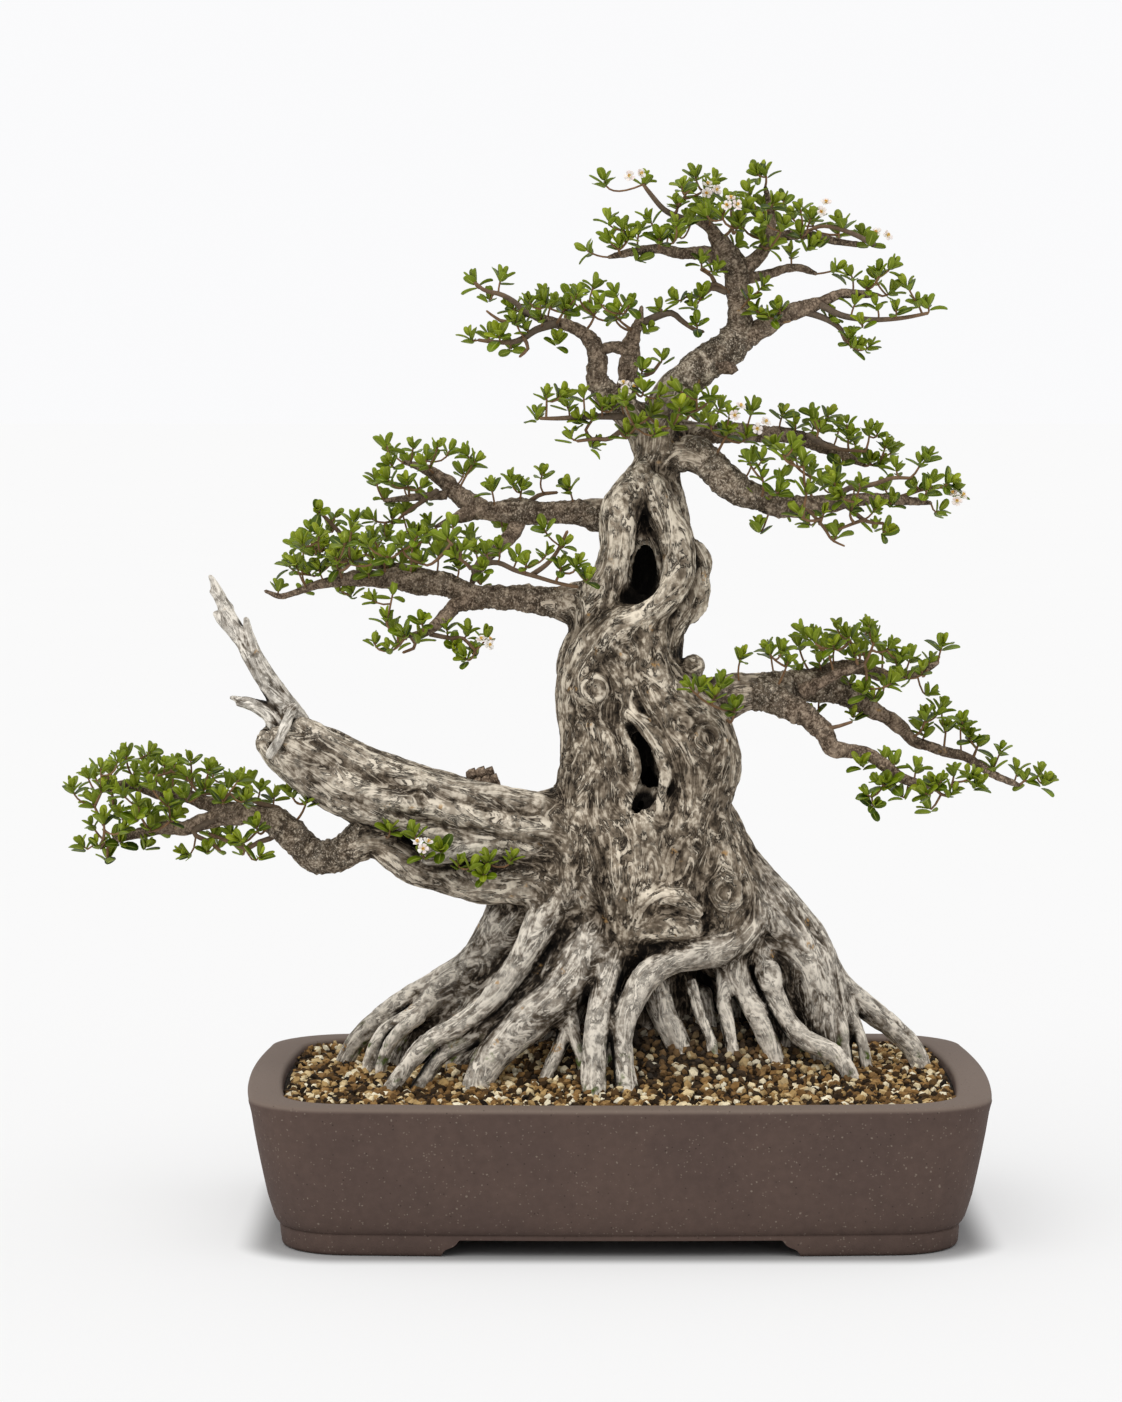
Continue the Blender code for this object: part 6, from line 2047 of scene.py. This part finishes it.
    def post(self, x: float, y: float, radius: float, sides: int = 40) -> Shape:
        """A cutter: an upright round bar through the floor.

        Args:
            x: its place along the pot, from the middle.
            y: its place across the pot.
            radius: its radius.
            sides: how many sides it has.

        Returns:
            The closed bar.
        """
        path = np.array([(x, y, height, radius) for height in (2.0, 15.0, 30.0)]) + [*POT_MIDDLE, 0]
        return carry_profile(path, sides)

    def build(self) -> None:
        """Make the wall, cut the feet and the holes, and dress it."""
        profile = [*self.outer_wall, *self.inner_wall]
        ends = [np.array([0.0, 0.0, height]) for _, height in (profile[0], profile[-1])]
        wall = self.shell(self.rings(profile), ends)
        pot = make_piece("clay_pot", wall, ClayFinish().material(), ("pot",))
        curl = np.array(self.foot_curl)
        cutters = []
        for half, turn in zip(self.foot_cut_halves, (False, True)):
            left = np.column_stack([curl[:, 0] - half, curl[:, 1]])
            cutters.append(self.bar(np.concatenate([left, left[::-1] * [-1, 1]]), -260, 260, turn))
        spot, radius = self.drain_hole
        cutters += [self.post(side * spot, 0.0, radius) for side in (-1, 1)]
        wide, deep, thin = self.wire_hole
        cutters += [self.post(x * wide, y * deep, thin, 16) for x in (-1, 1) for y in (-1, 1)]
        for number, cutter in enumerate(cutters):
            mesh = bpy.data.meshes.new("cutter")
            mesh.from_pydata((cutter.points * MM).tolist(), [],
                             cutter.quads.tolist() + cutter.triangles.tolist())
            tool = bpy.data.objects.new("cutter", mesh)
            bpy.context.scene.collection.objects.link(tool)
            cut = pot.modifiers.new(f"cut_{number}", "BOOLEAN")
            cut.object = tool
            cut.operation = "DIFFERENCE"
            whole = pot.evaluated_get(bpy.context.evaluated_depsgraph_get())
            carved = bpy.data.meshes.new_from_object(whole)
            pot.modifiers.clear()
            pot.data = carved
            bpy.data.objects.remove(tool)
        pot.data.shade_smooth()
        pot.data.set_sharp_from_angle(angle=math.radians(50))


@dataclass(frozen=True)
class ClayFinish:
    """Brown unglazed clay with fine pale grit, cloudy firing marks and a rim that is lighter towards its top.
    """

    name: str = "unglazed_clay"
    clay: Colour = paint(83, 68, 62)
    warm: Colour = paint(88, 72, 65)
    rim: Colour = paint(125, 111, 101)
    grit: Colour = paint(132, 120, 108)
    dark: Colour = paint(46, 38, 35)

    def material(self) -> Material:
        """Colour in clouds, with two sizes of pale grit and a few dark grains.

        Returns:
            The material.
        """
        work = Dressing(self.name, Specular_IOR_Level=0.15)
        clouds = work.span(work.noise(work.place, 22.0, 4.0, 0.6), 0.35, 0.65)
        colour = work.mottle(work.mix(clouds, self.clay, self.warm), 240.0, 0.18)
        high = work.node("ShaderNodeSeparateXYZ", {"Vector": work.place}).outputs["Z"]
        # Lighter towards the top of the rim.
        lighter_rim_top = work.span(high, (POT_HIGH[2] - 2.6) * MM, (POT_HIGH[2] - 0.4) * MM, 0.0, 0.75)
        colour = work.mix(lighter_rim_top, colour, self.rim)
        warp = work.node("ShaderNodeTexNoise", {"Vector": work.place, "Scale": 500.0, "Detail": 1.0})
        bent = work.vector("SCALE", {0: warp.outputs["Color"], "Scale": 0.0012})
        shifted = work.vector("ADD", {0: work.place, 1: bent})
        masks = []
        for where, scale, size, share, strength, speck in (
                (shifted, 760.0, 0.34, 0.13, 0.5, self.grit), (shifted, 430.0, 0.26, 0.05, 0.75, self.grit),
                (work.place, 640.0, 0.3, 0.05, 0.6, self.dark)):
            found = work.group(scattered_specks(), Place=where, Scale=scale, Size=size, Share=share)
            masks.append(found["Mask"])
            colour = work.mix(work.times(masks[-1], strength), colour, speck)
        sandy = work.noise(work.place, 900.0, 3.0, 0.65)
        grain = work.plus(sandy, work.times(work.minus(masks[1], masks[2]), 0.5))
        return work.finish(colour, (sandy, 0.2, 0.8, 0.72, 0.86), grain, 0.35, 0.0005)


@dataclass
class GravelSoil:
    """Coarse gravel heaped towards the trunk, on a bed of fine soil. Sizes are in mm."""

    pot: ClayPot
    edge_height: float = 69.7
    mound_height: float = 34.0
    mound_middle: tuple[float, float] = (26.0, 10.0)
    mound_spread: tuple[float, float] = (66.0, 50.0)
    bed_floor: float = 22.0
    wall_inset: float = 17.4
    layers: tuple[tuple[float, float, float, float], ...] = (
        (3.7, 3.2, 4.9, 0.2), (6.0, 4.2, 6.0, 1.3), (12.0, 5.6, 7.4, 1.9))
    shade_spread: tuple[float, float] = (56.0, 50.0)
    wall_gap: float = 0.32
    bed_drop: float = 1.6
    seed: int = 41
    bed_finish: PatchyFinish = PatchyFinish(
        "fine_soil", paint(24, 18, 12), paint(64, 48, 30), (480.0, 4.0, 0.7), (0.4, 0.7, 0.0, 1.0),
        (90.0, 0.4), (0.2, 0.8, 0.98, 0.88), (0.9, 0.0015), specular=0.2)

    def height(self, x: Array, y: Array) -> Array:
        """Level at the wall, with a bell-shaped heap: edge + heap * e^(-across^2 - along^2).

        Args:
            x: places along the pot, from its middle.
            y: places across it.

        Returns:
            The heights there.
        """
        across = (x - self.mound_middle[0]) / self.mound_spread[0]
        along = (y - self.mound_middle[1]) / self.mound_spread[1]
        return self.edge_height + self.mound_height * np.exp(-across ** 2 - along ** 2)

    def bed(self) -> Shape:
        """The fine soil: rings up the wall, then rings drawn in to the middle over the heap.

        Returns:
            The closed body of soil, whose top lies a little below the stones'.
        """
        wall = self.pot.rings([(24.8, self.bed_floor), (21.8, 42.0), (19.0, 60.0), (self.wall_inset, 68.0)])
        flat = np.linspace(1, 0, 46)[1:, None, None] * self.pot.outline(self.wall_inset)
        tops = np.dstack([flat, self.height(flat[..., 0], flat[..., 1]) - self.bed_drop])
        ends = [np.array([0.0, 0.0, self.bed_floor]), tops[-1, 0]]
        return self.pot.shell(np.concatenate([wall, tops[:-1]]), ends)

    def grains(self) -> Shape:
        """The gravel: twenty-sided stones whose corners are pulled in or out at random, squashed,
        turned and laid on the heap in layers of growing size. A stone's twelve corners are the
        turns of (+-1, +-golden ratio, 0), and any three less than 90 degrees apart make a side.

        Returns:
            The stones, with each one's lot and how much painted shade it gets under the trunk as marks.
        """
        draw = np.random.default_rng(self.seed)
        golden = (1 + math.sqrt(5)) / 2
        corners = unit(np.array([np.roll((across, along * golden, 0), turn)
                                 for turn in range(3) for along in (1, -1) for across in (-1, 1)]))
        sides = np.array([three if np.linalg.det(corners[list(three)]) > 0 else three[::-1]
                          for three in combinations(range(len(corners)), 3)
                          if np.all(corners[list(three)] @ corners[list(three)].T > 0)])
        spots, sizes = [], []
        half = (POT_HIGH[:2] - POT_LOW[:2]) / 2 - self.wall_inset - self.pot.side_bow / 2
        radius = self.pot.corner_radius - self.pot.corner_taper * self.wall_inset
        for pitch, small, large, lift in self.layers:
            across, along = (np.arange(-limit, limit, pitch) for limit in half)
            grid = np.stack(np.meshgrid(across, along), axis=-1).reshape(-1, 2)
            grid = grid + draw.uniform(-0.48, 0.48, grid.shape) * pitch
            width = draw.uniform(small, large, len(grid))
            corner = np.abs(grid) - (half - radius)
            beyond = np.linalg.norm(np.maximum(corner, 0), axis=1) + np.minimum(corner.max(1), 0) - radius
            keep = beyond < -self.wall_gap * width
            grid, width = grid[keep], width[keep]
            level = self.height(grid[:, 0], grid[:, 1]) + lift - 0.5 * width
            level = level + draw.uniform(0, 1.1, len(grid))
            spots.append(np.column_stack([grid + POT_MIDDLE[:2], level]))
            sizes.append(width)
        spots, sizes = np.concatenate(spots), np.concatenate(sizes)
        total = len(spots)
        body = corners[None] * draw.uniform(0.8, 1.16, (total, len(corners), 1))
        body = body * draw.uniform([0.9, 0.66, 0.5], [1.2, 1.0, 0.85], (total, 3))[:, None]
        twist = unit(draw.normal(size=(total, 4)))
        scalar, vector = twist[:, :1, None], np.broadcast_to(twist[:, None, 1:], body.shape)
        body = body + 2 * np.cross(vector, np.cross(vector, body) + scalar * body)
        points = spots[:, None] + body * sizes[:, None, None] / 2
        faces = sides[None] + (np.arange(total) * len(corners))[:, None, None]
        # Painted shade under the trunk: stones near the heap's middle are greyed.
        from_heap = (spots[:, :2] - POT_MIDDLE[:2] - self.mound_middle) / self.shade_spread
        heap = np.exp(-np.sum(from_heap ** 2, axis=1))
        damp = np.clip(heap * 1.25 + draw.normal(0, 0.12, total), 0, 1)
        marks = {"lot": draw.uniform(0, 1, total), "damp": damp}
        marks = {key: np.repeat(values, len(corners)) for key, values in marks.items()}
        return Shape(points.reshape(-1, 3), triangles=faces.reshape(-1, 3), marks=marks)

    def build(self) -> None:
        """Make the bed and the gravel on it."""
        make_piece("soil_bed", self.bed(), self.bed_finish.material(), ("soil",))
        gravel = make_piece("gravel", self.grains(), GravelFinish().material())
        gravel.data.shade_flat()


@dataclass(frozen=True)
class GravelFinish:
    """Baked clay and pumice gravel: dark brown, tan, golden and cream, greyed with painted shade under the
    trunk.
    """

    name: str = "gravel_stone"
    stops: tuple[tuple[float, Colour], ...] = (
        (0.0, paint(32, 25, 18)), (0.22, paint(62, 46, 28)), (0.42, paint(110, 82, 48)),
        (0.60, paint(148, 113, 68)), (0.76, paint(184, 153, 102)), (0.87, paint(226, 205, 160)),
        (1.0, paint(248, 240, 214)))
    # grey for the painted shade under the trunk
    damp: Colour = paint(62, 56, 50)

    def material(self) -> Material:
        """Colour by each stone's lot, then greyed with painted shade under the trunk.

        Returns:
            The material.
        """
        work = Dressing(self.name, Specular_IOR_Level=0.12)
        colour = work.ramp(work.mark("lot"), self.stops)
        colour = work.mottle(work.mix(work.times(work.mark("damp"), 0.82), colour, self.damp), 420.0, 0.5)
        pores = work.noise(work.place, 1100.0, 3.0, 0.65)
        return work.finish(colour, (pores, 0.2, 0.8, 0.95, 0.8), pores, 0.7, 0.0006)


@dataclass
class Drainage:
    """The screens over the drainage holes and their wire clips, which keep their CAD shapes: dark
    green moulded mesh dusted with soil, and soft bonsai wire dulled in patches."""

    mesh: PatchyFinish = PatchyFinish(
        "screen_mesh", paint(34, 48, 38), paint(120, 100, 78), (180.0, 3.0, 0.5), (0.5, 0.75, 0.0, 0.6),
        (300.0, 0.2), (0.4, 0.7, 0.45, 0.8), (0.3, 0.0003), specular=0.45)
    wire: PatchyFinish = PatchyFinish(
        "dull_wire", paint(150, 104, 74), paint(92, 70, 56), (260.0, 3.0, 0.5), (0.4, 0.7, 0.0, 1.0),
        (500.0, 0.3), (0.3, 0.7, 0.35, 0.6), (0.2, 0.0002), metallic=1.0)

    def build(self) -> None:
        """Dress the CAD nodes."""
        for part, finish in (("drainage_screen", self.mesh), ("screen_clip", self.wire)):
            made = finish.material()
            for name in (f"{part}_left", f"{part}_right"):
                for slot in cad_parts[name].material_slots:
                    slot.material = made
                LOG.info("%s: new finish", name)


# ---------------------------------------------------------------- the studio


@dataclass
class Studio:
    """A flat pale floor that glows a little, painted light that lifts the cast shadows except in a band of
    painted shadow by the pot's foot, even surroundings, a soft sun and the camera. Sizes are in metres."""

    camera_from_pot: tuple[float, float, float] = (-0.028, -2.1932, 0.4097)
    camera_tilt: float = math.radians(90 - 4.08)
    lens: float = 115.6
    floor_half: float = 40.0
    floor_greys: tuple[float, float] = (0.416, 0.421)
    floor_glow: float = 0.47
    foot_inset: float = 0.015
    foot_corner: float = 0.034
    glow_edge: float = 0.02
    sky_colour: Colour = (0.99, 0.99, 1.0)
    sky_light: float = 0.88
    seen_light: float = 0.97
    sun_colour: Colour = (1.0, 0.985, 0.96)
    sun_towards: tuple[float, float, float] = (0.34, 0.56, -0.95)
    sun_strength: float = 1.12
    sun_width: float = math.radians(62.0)

    def camera(self) -> None:
        """The viewing angle: level, in front of the pot and tipped down a little."""
        data = bpy.data.cameras.new("camera")
        data.lens = self.lens
        data.sensor_width = 36.0
        data.clip_end = 200.0
        camera = bpy.data.objects.new("camera", data)
        camera.location = Vector(self.camera_from_pot) + Vector(POT_MIDDLE) * MM
        camera.rotation_euler = (self.camera_tilt, 0.0, 0.0)
        bpy.context.scene.collection.objects.link(camera)
        bpy.context.scene.camera = camera

    def glow(self, work: Dressing) -> Socket:
        """How much of its glow, painted light that lifts the cast shadows, each place on the floor has: none
        under the pot, rising to all of it just outside the foot, so that a band of painted shadow lines the
        foot. A place p from the pot's middle lies |max(|p| - a, 0)| - r beyond the foot's outline, a rounded
        rectangle with corner radius r and straight half sides a.

        Args:
            work: the floor's material.

        Returns:
            The share, from 0 to 1.
        """
        straight = (POT_HIGH - POT_LOW) * MM / 2 - self.foot_inset - self.foot_corner
        away = work.vector("SUBTRACT", {0: work.place, 1: tuple(POT_MIDDLE * MM)})
        away = work.vector("SUBTRACT", {0: work.vector("ABSOLUTE", {0: away}), 1: (*straight[:2], 1.0)})
        away = work.vector("LENGTH", {0: work.vector("MAXIMUM", {0: away, 1: (0.0, 0.0, 0.0)})})
        return work.span(away, self.foot_corner, self.foot_corner + self.glow_edge)

    def backdrop(self) -> None:
        """A wide flat floor, as bright as the surroundings that the camera sees beyond it."""
        half = self.floor_half
        mesh = bpy.data.meshes.new("floor")
        corners = [(-half, -half, 0), (half, -half, 0), (half, half, 0), (-half, half, 0)]
        mesh.from_pydata(corners, [], [(0, 1, 2, 3)])
        values = {"Roughness": 0.9, "Specular_IOR_Level": 0.0, "Emission_Strength": self.floor_glow}
        work = Dressing("pale_floor", **values)
        greys = tuple((stop, (grey,) * 3) for stop, grey in enumerate(self.floor_greys))
        work.put(work.shader["Base Color"], work.ramp(work.noise(work.place, 3.0), greys))
        # Painted light: the floor's glow lifts the cast shadows, fading out just beside the foot.
        work.put(work.shader["Emission Color"], work.mix(self.glow(work), (0.0,) * 3, (1.0,) * 3))
        mesh.materials.append(work.made)
        floor = bpy.data.objects.new("floor", mesh)
        bpy.context.scene.collection.objects.link(floor)

    def sky(self) -> None:
        """Even light from all round; what the camera sees of it matches the lit floor."""
        world = bpy.data.worlds.new("studio")
        world.use_nodes = True
        wiring = Wiring(world.node_tree)
        seen = wiring.node("ShaderNodeLightPath").outputs["Is Camera Ray"]
        strength = wiring.plus(self.sky_light, wiring.times(seen, self.seen_light - self.sky_light))
        background = world.node_tree.nodes["Background"].inputs
        wiring.put(background["Color"], self.sky_colour)
        wiring.put(background["Strength"], strength)
        bpy.context.scene.world = world

    def sun(self) -> None:
        """A broad soft light from far away, above the camera's left."""
        data = bpy.data.lights.new("key_light", "SUN")
        data.energy = self.sun_strength
        data.angle = self.sun_width
        data.color = self.sun_colour
        lamp = bpy.data.objects.new("key_light", data)
        lamp.rotation_euler = Vector(self.sun_towards).to_track_quat("-Z", "Y").to_euler()
        bpy.context.scene.collection.objects.link(lamp)

    def build(self) -> None:
        """Set up the floor, the light and the camera."""
        self.camera()
        self.backdrop()
        self.sky()
        self.sun()
        bpy.context.scene.view_settings.view_transform = "Standard"


def main() -> None:
    """Build the potted tree, piece by piece, and report each one."""
    logging.basicConfig(level=logging.INFO, format="%(name)s: %(message)s")
    Studio().build()
    pot = ClayPot()
    pot.build()
    Drainage().build()
    soil = GravelSoil(pot)
    soil.build()
    tree = Tree(soil)
    tree.build()
    Canopy(tree.skeleton()).build()
    Flowers().build()
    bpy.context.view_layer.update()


if __name__ == "__main__":
    main()
